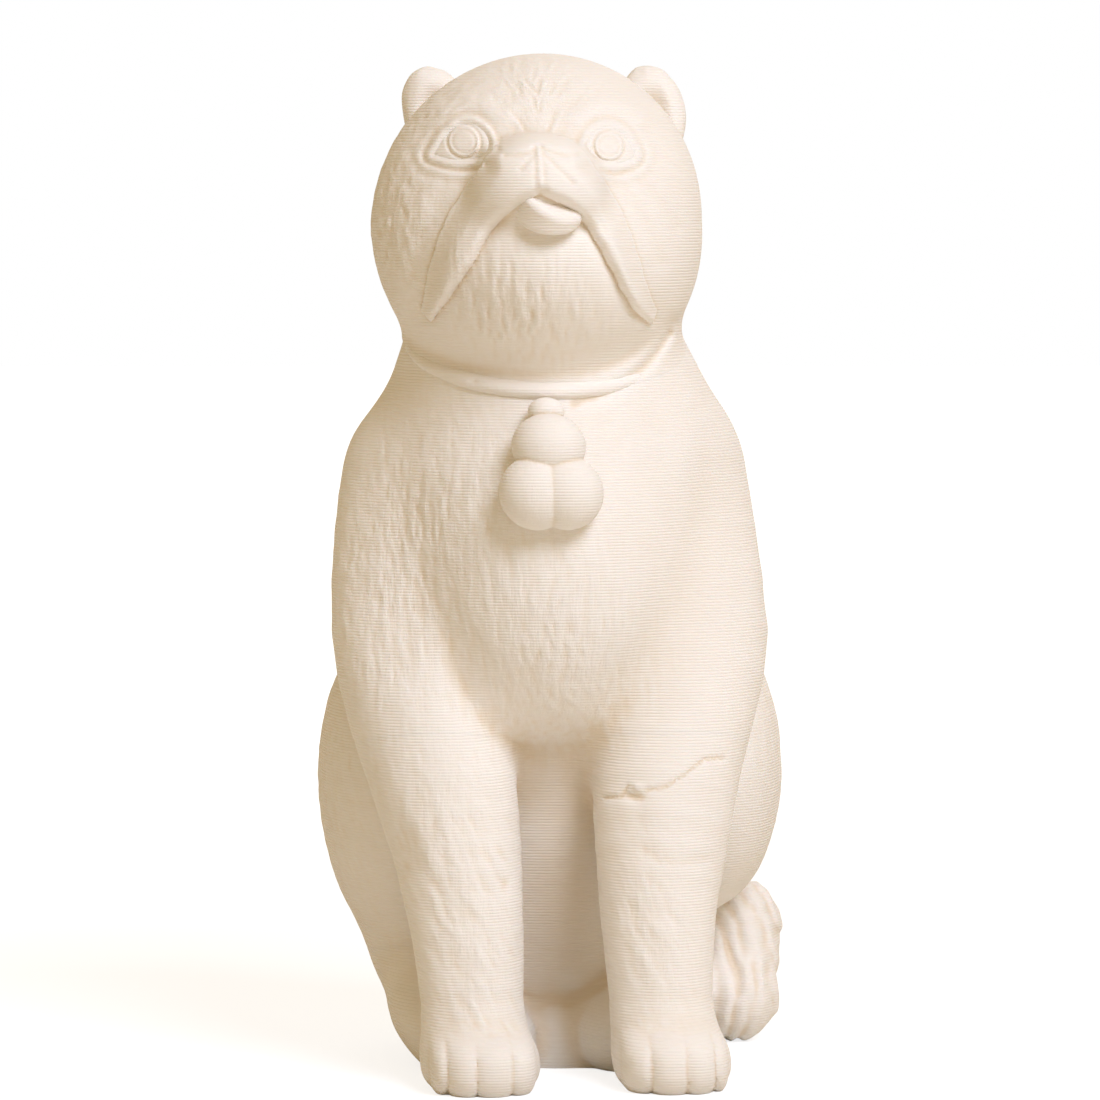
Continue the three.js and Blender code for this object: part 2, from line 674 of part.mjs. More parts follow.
class CollarLoop extends THREE.Curve {
  getPoint(share) {
    const angle = 2 * Math.PI * share;
    const across = collarHalfWidth * Math.cos(angle);
    const along = collarHalfDepth * Math.sin(angle) - COLLAR_FORWARD;
    return new THREE.Vector3(
      across,
      neckSeam.origin[1] + along * seamCosine,
      neckSeam.origin[2] + along * seamSine,
    );
  }
}
const COLLAR_STEPS = 30;
const COLLAR_SIDES = 7;
const collarRoll = (radius) => solidOf(
  new THREE.TubeGeometry(new CollarLoop(), COLLAR_STEPS, radius, COLLAR_SIDES, true),
);
const collar = collarRoll(COLLAR_RADIUS);
const collarGroove = collarRoll(COLLAR_RADIUS + JOINT_GAP);

// Pendant: the balls are parted by the planes midway between their centres
const collarReach = collarHalfDepth + COLLAR_FORWARD;
const bail = [
  BAIL_ASIDE,
  NECK_AXIS_Y - collarReach * seamCosine - BAIL_FORWARD,
  NECK_SEAM_HEIGHT - collarReach * seamSine - BAIL_DROP,
];
const topBell = [bail[0], bail[1] - BELL_FORWARD, bail[2] - BELL_DROP];
const lowerBell = (side) => [
  topBell[0] + side * BELL_SPREAD, topBell[1] - BELL_STEP_FORWARD, topBell[2] - BELL_FALL,
];
const pendantBalls = {
  pendant_top_bell: { centre: topBell, radius: BELL_RADIUS },
  pendant_left_bell: { centre: lowerBell(1), radius: BELL_RADIUS },
  pendant_right_bell: { centre: lowerBell(-1), radius: BELL_RADIUS },
  pendant_bail: { centre: bail, radius: BAIL_RADIUS },
};
const [chestSine, chestCosine] = tilted(BELL_SEAT_TILT);
const bellSeat = {
  origin: [0, topBell[1] + BELL_SEAT_DEPTH, topBell[2]],
  normal: [0, chestCosine, -chestSine],
};
const BALL_SEGMENTS = 14;
const BALL_RINGS = 8;
const pendant = {};
const pendantBeds = [];
for (const [name, { centre, radius }] of Object.entries(pendantBalls)) {
  const others = Object.values(pendantBalls).filter((other) => other.centre !== centre);
  const partings = others.map((other) => {
    const apart = other.centre.map((value, axis) => value - centre[axis]);
    const distance = Math.hypot(...apart);
    const share = (1 + (radius ** 2 - other.radius ** 2) / distance ** 2) / 2;
    return {
      origin: apart.map((value, axis) => centre[axis] + value * share),
      normal: apart,
    };
  });
  pendant[name] = overlap([
    ball(centre, [radius, radius, radius], BALL_SEGMENTS, BALL_RINGS),
    behind(bellSeat, -half),
    ...partings.map((plane) => behind(plane, -half)),
  ]);
  const bed = radius + JOINT_GAP;
  pendantBeds.push(ball(centre, [bed, bed, bed], BALL_SEGMENTS, BALL_RINGS)
    .intersect(behind(bellSeat, half)));
}

// Torso: the body without its limbs, with a spigot that stands up into the head
const ROUND_SEGMENTS = 24;
const spigotRoot = NECK_SEAM_HEIGHT - SPIGOT_RISE;
const spigotTop = NECK_SEAM_HEIGHT + SPIGOT_RISE;
const limbSpaces = Object.values(sides).flatMap((side) => [
  foreLegSpace(side, half), footSpace(side, half), haunchBed(side, half),
]);
const torso = [...limbSpaces, tailBed, collarGroove, ...pendantBeds]
  .reduce((sum, solid) => sum.subtract(solid), body.intersect(behind(neckSeam, -half)))
  .add(upright(spigotRadius, spigotRoot, spigotTop, NECK_AXIS_Y, ROUND_SEGMENTS));

// Head sprigs, each built in the skull's own frame and seated behind a plane
function skullPoint(direction) {
  const reach = Math.hypot(...direction.map((value, axis) => value / SKULL_RADII[axis]));
  const [x, y, z] = direction.map((value) => value / reach);
  return [x + CROWN_LEAN * Math.max(z, 0), y, z];
}

function placed(geometry, matrix) {
  geometry.applyMatrix4(matrix);
  return solidOf(geometry);
}

function turned(plane) {
  const origin = new THREE.Vector3(...plane.origin).applyMatrix4(headTurn);
  const normal = new THREE.Vector3(...plane.normal).transformDirection(headTurn);
  return { origin: origin.toArray(), normal: normal.toArray() };
}

const EYE_ARC_STEPS = 4;
const EYE_SEGMENTS = 16;
function eyeFrame(side) {
  const across = side * EYE_X - CROWN_LEAN * EYE_Z;
  const depth = SKULL_RADII[1] * Math.sqrt(
    1 - (across / SKULL_RADII[0]) ** 2 - (EYE_Z / SKULL_RADII[2]) ** 2,
  );
  const position = new THREE.Vector3(side * EYE_X, -depth, EYE_Z);
  const outward = new THREE.Vector3(
    ...[across, -depth, EYE_Z].map((value, axis) => value / SKULL_RADII[axis] ** 2),
  ).normalize();
  const turn = new THREE.Quaternion().setFromUnitVectors(new THREE.Vector3(0, 1, 0), outward);
  return headTurn.clone().multiply(
    new THREE.Matrix4().compose(position, turn, new THREE.Vector3(1, 1, 1)),
  );
}

// The eye's outline, from the middle of its back out, round the rim and in over the iris
function eyeOutline() {
  const rimHeight = EYE_RISE / 4;
  const domeHeight = (radius) => (
    EYE_RISE - (EYE_RISE - rimHeight) * (radius / EYE_RADIUS) ** 2
  );
  const outline = [[0, -EYE_DEPTH], [EYE_RADIUS, -EYE_DEPTH]];
  for (let step = 0; step <= EYE_ARC_STEPS; step += 1) {
    const radius = EYE_RADIUS + ((IRIS_RADIUS - EYE_RADIUS) * step) / EYE_ARC_STEPS;
    outline.push([radius, domeHeight(radius)]);
  }
  outline.push([IRIS_RADIUS, domeHeight(IRIS_RADIUS) + IRIS_RELIEF]);
  outline.push([0, EYE_RISE + IRIS_RELIEF]);
  return outline.map(([radius, height]) => new THREE.Vector2(radius, height));
}

const LID_STEPS = 18;
const LID_SIDES = 6;
const EAR_SEGMENTS = 16;
const EAR_RINGS = 10;
const TONGUE_SEGMENTS = 14;
const TONGUE_RINGS = 8;

const earCentre = (side) => [side * EAR_CENTRE[0] + EAR_SHIFT, EAR_CENTRE[1], EAR_CENTRE[2]];

function earFrame(side) {
  return headTurn.clone()
    .multiply(new THREE.Matrix4().makeTranslation(...earCentre(side)))
    .multiply(new THREE.Matrix4().makeRotationY(radians(side * EAR_SPLAY - EAR_LEAN)));
}

function earLobe(side, allowance) {
  const geometry = new THREE.SphereGeometry(1, EAR_SEGMENTS, EAR_RINGS);
  geometry.scale(...EAR_RADII.map((radius) => radius + allowance));
  return placed(geometry, earFrame(side));
}

function earHollow(side) {
  const geometry = new THREE.SphereGeometry(1, EAR_SEGMENTS, EAR_RINGS);
  geometry.scale(...EAR_HOLLOW_RADII);
  geometry.translate(0, EAR_HOLLOW_Y, 0);
  return placed(geometry, earFrame(side));
}

// The plane that an ear is seated on, facing out from the skull
function earSeat(side) {
  const outward = new THREE.Vector3(...earCentre(side)).normalize();
  const surface = new THREE.Vector3(...skullPoint(outward.toArray()));
  const origin = surface.addScaledVector(outward, -EAR_SEAT_DEPTH);
  return turned({ origin: origin.toArray(), normal: outward.toArray().map((value) => -value) });
}

function tongueBody(allowance) {
  const geometry = new THREE.SphereGeometry(1, TONGUE_SEGMENTS, TONGUE_RINGS);
  geometry.scale(...TONGUE_RADII.map((radius) => radius + allowance));
  geometry.rotateX(radians(TONGUE_DROOP));
  geometry.rotateY(radians(TONGUE_TILT));
  geometry.translate(...TONGUE_CENTRE);
  return placed(geometry, headTurn.clone());
}
const tongueSeat = turned({ origin: [0, TONGUE_SEAT_Y, 0], normal: [0, 1, 0] });
const tongue = tongueBody(0).intersect(behind(tongueSeat, -half));

const eyes = {};
const ears = {};
const headBeds = [tongueBody(JOINT_GAP).intersect(behind(tongueSeat, half)), collarGroove];
const lids = [];
for (const [name, side] of Object.entries(sides)) {
  const frame = eyeFrame(side);
  eyes[name] = placed(new THREE.LatheGeometry(eyeOutline(), EYE_SEGMENTS), frame);
  const bedDepth = EYE_DEPTH + JOINT_GAP;
  const bedRise = 3 * EYE_RISE;
  const bed = new THREE.CylinderGeometry(
    EYE_RADIUS + JOINT_GAP, EYE_RADIUS + JOINT_GAP, bedRise + bedDepth, EYE_SEGMENTS,
  );
  bed.translate(0, (bedRise - bedDepth) / 2, 0);
  headBeds.push(placed(bed, frame));
  const lid = new THREE.TorusGeometry(LID_RING_RADIUS, LID_RADIUS, LID_SIDES, LID_STEPS);
  lid.rotateX(Math.PI / 2);
  lids.push(placed(lid, frame));
  ears[name] = earLobe(side, 0).intersect(behind(earSeat(side), -half)).subtract(earHollow(side));
  headBeds.push(earLobe(side, JOINT_GAP).intersect(behind(earSeat(side), half)));
}

// Head, with a socket that takes the spigot
const skullWidest = SKULL_RADII[0] + LOOSE;
const headLower = [
  -skullWidest, HEAD_CENTRE[1] - SKULL_RADII[1] - 4 * LOOSE, NECK_SEAM_HEIGHT - 4 * LOOSE,
];
const headUpper = [
  skullWidest, HEAD_CENTRE[1] + SKULL_RADII[1] + LOOSE, HEAD_CENTRE[2] + SKULL_RADII[2] + LOOSE,
];
const socket = upright(
  spigotRadius + JOINT_GAP, spigotRoot, spigotTop + JOINT_GAP, NECK_AXIS_Y, ROUND_SEGMENTS,
);
const headShape = await solidSurface(headMass, headLower, headUpper, HEAD_GRID, HEAD_TRIANGLES);
const headShell = headShape.intersect(behind(aboveNeckSeam, -half));
const head = [...headBeds, socket].reduce(
  (sum, solid) => sum.subtract(solid),
  lids.reduce((sum, lid) => sum.add(lid), headShell),
);

// Every piece, by name, leant over with the figure and set on the middle of its own footprint
const pieces = {
  torso,
  head,
  left_ear: ears.left,
  right_ear: ears.right,
  left_eye: eyes.left,
  right_eye: eyes.right,
  tongue,
  collar,
  ...pendant,
  left_foreleg: foreLegs.left,
  right_foreleg: foreLegs.right,
  left_haunch: haunches.left,
  right_haunch: haunches.right,
  left_hind_foot: hindFeet.left,
  right_hind_foot: hindFeet.right,
  tail,
};

const lean = new THREE.Matrix4().set(
  1, 0, LEAN, -LEAN * LEAN_PIVOT,
  0, 1, 0, 0,
  0, 0, 1, 0,
  0, 0, 0, 1,
);
const CREAM = "#eee3d0";
const figure = new THREE.Group();
for (const [name, solid] of Object.entries(pieces)) {
  const faces = solid.getMesh();
  const geometry = new THREE.BufferGeometry();
  geometry.setAttribute("position", new THREE.Float32BufferAttribute(faces.vertProperties, 3));
  geometry.setIndex([...faces.triVerts]);
  geometry.applyMatrix4(lean);
  geometry.computeVertexNormals();
  const clay = new THREE.MeshStandardMaterial({ color: CREAM, roughness: 0.9, metalness: 0 });
  const mesh = new THREE.Mesh(geometry, clay);
  mesh.name = name;
  figure.add(mesh);
}
const extent = new THREE.Box3().setFromObject(figure);
const middle = extent.getCenter(new THREE.Vector3());
for (const mesh of figure.children) {
  mesh.geometry.translate(-middle.x, -middle.y, -extent.min.z);
}

export default figure;
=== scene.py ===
# Looks of the seated pug in unglazed cream ceramic.
# Each body part is drawn from blended masses with sculpted relief, in millimetres, upright.
# The figure's lean and its place in the frame come last, with the change to metres.
import math

import bmesh
import bpy
import numpy as np
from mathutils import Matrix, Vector


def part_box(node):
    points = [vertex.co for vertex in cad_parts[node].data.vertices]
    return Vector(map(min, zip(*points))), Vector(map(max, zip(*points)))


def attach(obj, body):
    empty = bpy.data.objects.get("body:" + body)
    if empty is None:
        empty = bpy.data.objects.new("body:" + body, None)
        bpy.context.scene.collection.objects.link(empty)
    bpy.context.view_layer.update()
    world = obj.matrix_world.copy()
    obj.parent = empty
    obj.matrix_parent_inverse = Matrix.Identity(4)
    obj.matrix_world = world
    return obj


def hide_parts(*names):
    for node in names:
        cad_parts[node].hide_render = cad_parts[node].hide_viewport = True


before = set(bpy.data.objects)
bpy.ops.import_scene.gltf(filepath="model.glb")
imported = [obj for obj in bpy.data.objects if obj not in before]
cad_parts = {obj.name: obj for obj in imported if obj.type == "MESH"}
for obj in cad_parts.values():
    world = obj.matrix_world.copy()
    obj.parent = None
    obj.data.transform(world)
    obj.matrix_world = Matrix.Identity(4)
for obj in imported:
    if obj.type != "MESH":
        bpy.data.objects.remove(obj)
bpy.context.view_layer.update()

MM = 0.001
BODY_STEP = 0.85
HEAD_STEP = 0.55
SMALL_STEP = 0.35
TAIL_STEP = 0.7
STEP_SHAPE = (1.0, 1.45, 1.1)  # steps are longer from front to back

# The whole figure
LEAN = -0.033
LEAN_PIVOT = 45.0
MUSCLE_BLEND = 14.0
LIMB_BLEND = 7.0
LIP_BLEND = 3.5
FOLD_BLEND = 4.0
LAYER = 0.8
BEYOND = 400.0
TINY = 1e-6
LEAST_REACH = 1e-4

# Trunk masses: centre and radii
NECK_TOP = ((-0.6, -22, 212), 34.3)
NECK_BASE = ((3.4, -14, 170), 48.6)
NECK_FLARE = 0.25
RIBS = ((1, -8, 140), (50, 46, 62))
CHEST = ((0, -31, 140), (38, 40, 49))
BELLY = ((0, 11, 72), (38, 42, 64))
BACK = ((1, 14, 116), (44, 46, 80))
RUMP = ((2, 33, 48), (45, 46, 62))
GROIN = ((0.5, -14, 0), (18, 14, 15.5))
SEAT = ((2.8, 22, 0), (38, 43, 12))

# Foreleg, from shoulder to toes
FORE_SHIFT = -1.3
ARM_SHIFT = 0.2
SHOULDER = ((35.6, -14, 162), 18.4)
UPPER_ARM = ((38.7, -26, 122), 21.6)
ELBOW = ((30.3, -43.5, 80), 19.6)
FOREARM = ((26.6, -52.5, 50), 16.2)
WRIST = ((25.8, -58, 22), 13.8)
SHIFT_HEIGHTS = (120, 85)
PAW_SHIFT = 0.2
PAW = ((26, -66.5, 7), (16.2, 19.2, 10))
PAW_SQUARENESS = 2.4
PAW_BLEND = 10
TOE_EDGES = (10.6, 18.6, 28.4, 36.5, 41.4)
TOE_RELIEF = 1.7
TOE_FAN = 0.006
TOE_FRONT = -66
TOE_TOP = 12
FORELEG_TOP = 98
FORELEG_TOP_TILT = math.radians(14)
FORELEG_BACK_Y = -28.5
FORELEG_BACK_TILT = math.radians(13)
FORELEG_INNER_X = 8.0

# Hind leg
HIND_SHIFT = 2.8
HIND_FOOT_SHIFT = -1.6
HAUNCH = ((42, 20, 74), (23.5, 43, 47))
LEFT_HAUNCH_RISE = 7.5
LEFT_HAUNCH_SHORTENING = 4.5
HAUNCH_BED_MARGIN = 4
BED_ROUNDNESS = 5
HAUNCH_FACE_X = 34
HOCK = ((33.5, 10, 24), 12.5)
HEEL = ((30.5, -10, 13), 12.5)
FOOT = ((24.5, -19, 8), (19.3, 25, 11.3))
FOOT_SQUARENESS = 2.4
FOOT_EDGE = (46.0, 10)
FOOT_EDGE_FACING = (0.78, -0.62)
FOOT_EDGE_BLEND = 8
HIND_BLEND = 16.0
FOOT_BACK_Y = -14
FOOT_INNER_X = 10
FOOT_TOP = 21
FOLD_HEIGHTS = (18, 40)

# Tail
TAIL_ROOT = ((10, 78, 20), 13)
TAIL_BEND = ((44, 68, 22), 15.5)
TAIL_CREST = ((54, 40, 30.5), 14)
TAIL_TIP = ((53.5, 26, 13), 13)

# Head, measured from the middle of the skull
HEAD_CENTRE = (0, -28, 234)
HEAD_TURN = math.radians(-4)
HEAD_BLEND = 8
SKULL_RADII = (45.3, 43, 46)
CROWN_LEAN = 0.07
CHEEK = ((12.9, -7, -11), (23, 30, 25))
CHIN = ((0, -21, -9), (27, 34, 25))
MUZZLE = ((0, -38, 10), (19, 22, 15))
EAR = ((29.5, 14, 29), (9.5, 7.5, 14))
EAR_SHIFT = 3.5
EAR_SPLAY = 6
EAR_LEAN = 10
TONGUE = ((2.9, -53, 3.8), (8.8, 9, 3.6))
TONGUE_EDGE = 2.0
TONGUE_TAPER = 0.04
TONGUE_TILT = math.radians(16)
TONGUE_DROOP = math.radians(-30)

# Neck seam, collar and pendant
NECK_SEAM_HEIGHT = 201
NECK_SEAM_TILT = math.radians(18)
NECK_AXIS_Y = -20
COLLAR_RADIUS = 3
COLLAR_FLATNESS = 1.3
COLLAR_SUNK = 3.9
COLLAR_ASIDE = 0.2
COLLAR_DEEPER = 3.2
COLLAR_FORWARD = 2.5
BAIL_RADIUS = 4.7
BAIL_ASIDE = -2.2
BAIL_FORWARD = 7.6
BAIL_DROP = 5.3
BELL_RADIUS = 10
BELL_DROP = 9.2
BELL_FORWARD = 4.5
BELL_SPREAD = 4.1
BELL_FALL = 12.4
BELL_STEP_FORWARD = 3
BELL_BLEND = 0.2
BAIL_FLATNESS = (1.05, 1, 0.8)
TOP_BELL_FLATNESS = (1, 1, 0.88)


def vector(values):
    return np.array(values, np.float32)


def lengths(rows):
    return np.sqrt(np.einsum("ij,ij->i", rows, rows))


def mix(low, high, share):
    return low + (high - low) * share


def scaled(points, mass):
    centre, radii = mass
    return (points - vector(centre)) / vector(radii)


# Masses: the distance from each point to a surface, negative inside
def ellipsoid(points, mass):
    own = scaled(points, mass)
    reach = lengths(own)
    return reach * (reach - 1) / np.maximum(lengths(own / vector(mass[1])), TINY)


# A limb whose radius grows evenly, or eases into its end over the share called flare
def limb(points, start, end, flare=0.0):
    (a, radius_a), (b, radius_b) = start, end
    a = vector(a)
    along = vector(b) - a
    offset = points - a
    share = np.clip(offset @ along / float(along @ along), 0, 1)
    length = lengths(offset - share[:, None] * along)
    if flare:
        left = 1 - share
        left = np.where(left < flare, left * left / (2 * flare), left - flare / 2)
        share = 1 - left / (1 - flare / 2)
    return length - mix(radius_a, radius_b, share)


# A limb along a smooth path through its places
def bent_limb(points, places, steps=4):
    ends = [places[0], *places, places[-1]]
    known = [np.array([*centre, radius], float) for centre, radius in ends]
    path = []
    for a, b, c, d in zip(known, known[1:], known[2:], known[3:]):
        for step in range(steps):
            t = step / steps
            path.append(0.5 * (
                2 * b + (c - a) * t + (2 * a - 5 * b + 4 * c - d) * t * t
                + (3 * b - a - 3 * c + d) * t ** 3
            ))
    path.append(known[-1])
    parts = [
        limb(points, (start[:3], start[3]), (end[:3], end[3]))
        for start, end in zip(path, path[1:])
    ]
    return np.min(parts, axis=0)


# A rounded block: an ellipsoid with squarer shoulders
def block(points, mass, power):
    own = np.maximum(np.abs(scaled(points, mass)), LEAST_REACH)
    reach = np.sum(own ** power, axis=1) ** (1 / power)
    steep = (own / reach[:, None]) ** (power - 1) / vector(mass[1])
    return (reach - 1) / lengths(steep)


def blend(first, second, softness):
    nearness = np.maximum(softness - np.abs(first - second), 0) / softness
    return np.minimum(first, second) - nearness * nearness * softness / 4


def blend_all(masses, softness):
    total = masses[0]
    for mass in masses[1:]:
        total = blend(total, mass, softness)
    return total


def one_side(points, middle=0.0):
    folded = points.copy()
    folded[:, 0] = np.abs(points[:, 0] - middle)
    return folded


def neck_mass(points):
    return limb(points, NECK_TOP, NECK_BASE, NECK_FLARE)


def core_mass(points):
    masses = [neck_mass(points)]
    masses += [ellipsoid(points, mass) for mass in (RIBS, CHEST, BELLY, BACK, RUMP)]
    return blend_all(masses, MUSCLE_BLEND)


def fore_side(points):
    return one_side(points, mix(ARM_SHIFT, FORE_SHIFT, smooth_step(*SHIFT_HEIGHTS, points[:, 2])))


def fore_leg_mass(points):
    side = fore_side(points)
    leg = bent_limb(side, [SHOULDER, UPPER_ARM, ELBOW, FOREARM, WRIST])
    paw = block(one_side(points, PAW_SHIFT), PAW, PAW_SQUARENESS)
    return blend(leg, paw, PAW_BLEND)


def haunch_size(hand, extra=0.0):
    centre, radii = (np.array(part, float) for part in HAUNCH)
    if hand > 0:
        centre[2] += LEFT_HAUNCH_RISE
        radii[2] -= LEFT_HAUNCH_SHORTENING
    return centre, radii + extra


def hind_leg_mass(points):
    thigh_side = one_side(points, HIND_SHIFT)
    foot_side = one_side(points, HIND_FOOT_SHIFT)
    left, right = (ellipsoid(thigh_side, haunch_size(hand)) for hand in (1, -1))
    leg = blend_all([
        np.where(points[:, 0] > HIND_SHIFT, left, right),
        limb(foot_side, HOCK, HEEL),
        block(foot_side, FOOT, FOOT_SQUARENESS),
    ], HIND_BLEND)
    edge = (foot_side[:, [0, 2]] - FOOT_EDGE) @ np.array(FOOT_EDGE_FACING)
    return -blend(-leg, -edge, FOOT_EDGE_BLEND)


def body_mass(points):
    trunk = blend(core_mass(points), ellipsoid(points, SEAT), MUSCLE_BLEND)
    trunk = blend(trunk, ellipsoid(points, GROIN), FOLD_BLEND)
    upper = smooth_step(FOREARM[0][2], UPPER_ARM[0][2], points[:, 2])
    front = blend(trunk, fore_leg_mass(points), mix(LIMB_BLEND, MUSCLE_BLEND, upper))
    above_fold = smooth_step(*FOLD_HEIGHTS, points[:, 2])
    return blend(front, hind_leg_mass(points), mix(FOLD_BLEND, LIMB_BLEND, above_fold))


def tail_mass(points):
    places = [TAIL_ROOT, TAIL_BEND, TAIL_CREST, TAIL_TIP]
    return blend_all([limb(points, *ends) for ends in zip(places, places[1:])], LIMB_BLEND)


head_turn = vector([
    [math.cos(HEAD_TURN), -math.sin(HEAD_TURN), 0],
    [math.sin(HEAD_TURN), math.cos(HEAD_TURN), 0],
    [0, 0, 1],
])


def to_head(points):
    return (points - vector(HEAD_CENTRE)) @ head_turn


def from_head(points):
    return np.asarray(points) @ head_turn.T + np.array(HEAD_CENTRE)


def face_mass(local):
    side = one_side(local)
    leant = local.copy()
    leant[:, 0] -= CROWN_LEAN * np.maximum(local[:, 2], 0)
    soft = blend_all([
        ellipsoid(leant, ((0, 0, 0), SKULL_RADII)),
        ellipsoid(side, CHEEK),
        ellipsoid(local, CHIN),
    ], MUSCLE_BLEND)
    return blend(soft, ellipsoid(local, MUZZLE), LIP_BLEND)


def head_mass(points):
    return blend(face_mass(to_head(points)), neck_mass(points), HEAD_BLEND)


# Soft noise on a lattice, from -1 to 1; each seed reads the lattice from a place of its own
LATTICE_SIZE = 64
LEAST_STRENGTH = 0.02
lattice = np.random.default_rng(5).uniform(-1, 1, (LATTICE_SIZE,) * 3).astype(np.float32)


def noise(points, sizes, seed):
    place = points / vector(sizes)
    base = np.floor(place)
    share = place - base
    share = share * share * (3 - 2 * share)
    near = (base.astype(np.int32) + seed * np.array((7, 13, 29))) % LATTICE_SIZE
    far = (near + 1) % LATTICE_SIZE
    edges = []
    for x in (near[:, 0], far[:, 0]):
        for y in (near[:, 1], far[:, 1]):
            edges.append(mix(lattice[x, y, near[:, 2]], lattice[x, y, far[:, 2]], share[:, 2]))
    first = mix(edges[0], edges[1], share[:, 1])
    return mix(first, mix(edges[2], edges[3], share[:, 1]), share[:, 0])


# Layers of noise: the share of each, the sizes of its grains and its seed
def mixed(points, layers):
    return sum(share * noise(points, sizes, seed) for share, sizes, seed in layers)


# A relief worked out only where its strength counts
def spread(strength, points, relief):
    total = np.zeros(len(points), np.float32)
    near = strength > LEAST_STRENGTH
    if near.any():
        total[near] = strength[near] * relief(points[near])
    return total


def smooth_step(low, high, value):
    share = np.clip((value - low) / (high - low), 0, 1)
    return share * share * (3 - 2 * share)


def patch(points, middle, radii):
    own = scaled(points, (middle, radii))
    return np.exp(-np.einsum("ij,ij->i", own, own))


# Soft patches: the middle of each, its radii and its strength
def patches(points, table):
    return sum(strength * patch(points, middle, radii) for middle, radii, strength in table)


# A swelling of height 1 with soft flanks
def mound(gap, width, middle=0.0):
    return np.exp(-(((gap - middle) / width) ** 2))


# Distance in the XZ plane from each point to a line through named places
def to_line(across, height, line):
    best = np.full(len(across), 1e3, np.float32)
    for (x0, z0), (x1, z1) in zip(line[:-1], line[1:]):
        dx, dz = x1 - x0, z1 - z0
        share = ((across - x0) * dx + (height - z0) * dz) / (dx * dx + dz * dz)
        share = np.clip(share, 0, 1)
        gap = np.hypot(across - x0 - share * dx, height - z0 - share * dz)
        best = np.minimum(best, gap)
    return best


def nearest(across, height, lines):
    return np.min([to_line(across, height, line) for line in lines.values()], axis=0)


# A line with its corners cut off, round by round
def softened(line, rounds=2):
    for _ in range(rounds):
        pairs = [line[0]]
        for (x0, z0), (x1, z1) in zip(line[:-1], line[1:]):
            pairs.append((0.75 * x0 + 0.25 * x1, 0.75 * z0 + 0.25 * z1))
            pairs.append((0.25 * x0 + 0.75 * x1, 0.25 * z0 + 0.75 * z1))
        pairs.append(line[-1])
        line = pairs
    return line


def roll(across, height, line, width, rise):
    return rise * mound(to_line(across, height, softened(line)), width)


# The face's lines, in the head's own X and Z
EYE_MIDDLES = {1: (19.7, 20.7), -1: (-19.3, 22)}
EYE_OPENINGS = {
    -1: [(-27.9, 18.2), (-26, 21.6), (-24.2, 24.3), (-20.9, 26.7), (-17, 27.3),
         (-13.6, 25.3), (-11.8, 21.4), (-13.8, 17.9), (-18.2, 16.4), (-23.1, 16.7)],
    1: [(13.3, 21), (15.4, 24.7), (19.7, 26.4), (24, 24.5), (26.4, 20.2),
        (27.2, 17.4), (21.3, 15.4), (15.6, 17.1)],
}
BROWS = {
    -1: [(-26.8, 29.1), (-19.4, 32.8), (-13.3, 32.3), (-8.6, 28.5)],
    1: [(11, 28.3), (17.7, 32), (23.5, 31.6), (28, 28.6)],
}
MOUTHS = {
    -1: [(0.2, 8.1), (-5.2, 5.2), (-9.9, 1.2), (-13.5, -2.8), (-19.1, -12.1), (-25, -20.4),
         (-29.8, -26.8)],
    1: [(0.2, 8.1), (5.7, 5.5), (11.2, 2), (17, -8.1), (21.5, -17.2), (25.1, -23.9),
        (30.2, -27.6)],
}
OUTER_FLEWS = {
    -1: [(-15, 14.8), (-19.7, 9.2), (-24.4, 2), (-28.2, -6.8), (-31, -16.5), (-32.6, -23.7)],
    1: [(14.8, 16), (17.8, 11.8), (23.4, 2), (26.2, -8.2), (29.1, -17.8), (31.4, -23.6)],
}
SECOND_FOLDS = {
    -1: [(-25, 9), (-31.4, -2.8), (-34.6, -14)],
    1: [(22, 12), (29.5, 0.5), (33, -10)],
}
CHEEK_FOLD = [(24, 14), (31.9, 8), (38, -1)]
NOSE_ARC = [
    (-15, 14.8), (-13.6, 17.9), (-9.8, 21.4), (-4.4, 23.8), (0.9, 24.3), (7.5, 23.3),
    (11.5, 20.9), (14.8, 16),
]
NOSE_CORNER = [(-13.8, 16.2), (-12.4, 17.9), (-10.4, 19.8)]
PHILTRUM = [(0.3, 20.4), (0.5, 14.8), (0.5, 9)]
NOSE_CREASES = {
    0.55: [
        [(0.3, 20.4), (-1.9, 18.8), (-5.1, 18.3), (-8.6, 18.1)],
        [(0.6, 20.4), (3.2, 19.1), (6.4, 18.3), (10.7, 18.1)],
    ],
    0.4: [
        [(-0.1, 19.9), (-1.9, 17.4), (-4.4, 14.5)],
        [(1.4, 19.5), (3.5, 16.6), (6.4, 13.8), (9.3, 10.9)],
    ],
}
FACE_DEPTH = -12
EYE_REACH = 19


def philtrum_groove(hand):
    return [(x + hand * (0.9 + 0.04 * (20.4 - z)), z) for x, z in PHILTRUM]


# Rolls and creases of the face: line, width and rise
FACE_ROLLS = [
    (BROWS[-1], 3.0, 0.8),
    (SECOND_FOLDS[-1], 2.4, -0.5),
    (BROWS[1], 3.0, 0.8),
    (SECOND_FOLDS[1], 2.4, -0.5),
    (CHEEK_FOLD, 1.8, -0.3),
    (PHILTRUM, 0.7, 0.22),
    (philtrum_groove(-1), 0.7, -0.28),
    (philtrum_groove(1), 0.7, -0.28),
    (NOSE_CORNER, 0.9, -0.7),
]


def rounded(share):
    share = np.clip(share, 0, 1)
    return np.sqrt(share * (2 - share))


# A swelling with a steep edge, though less steep than a ball's
def swollen(share):
    share = np.clip(share, 0, 1)
    return share * (2 - share)


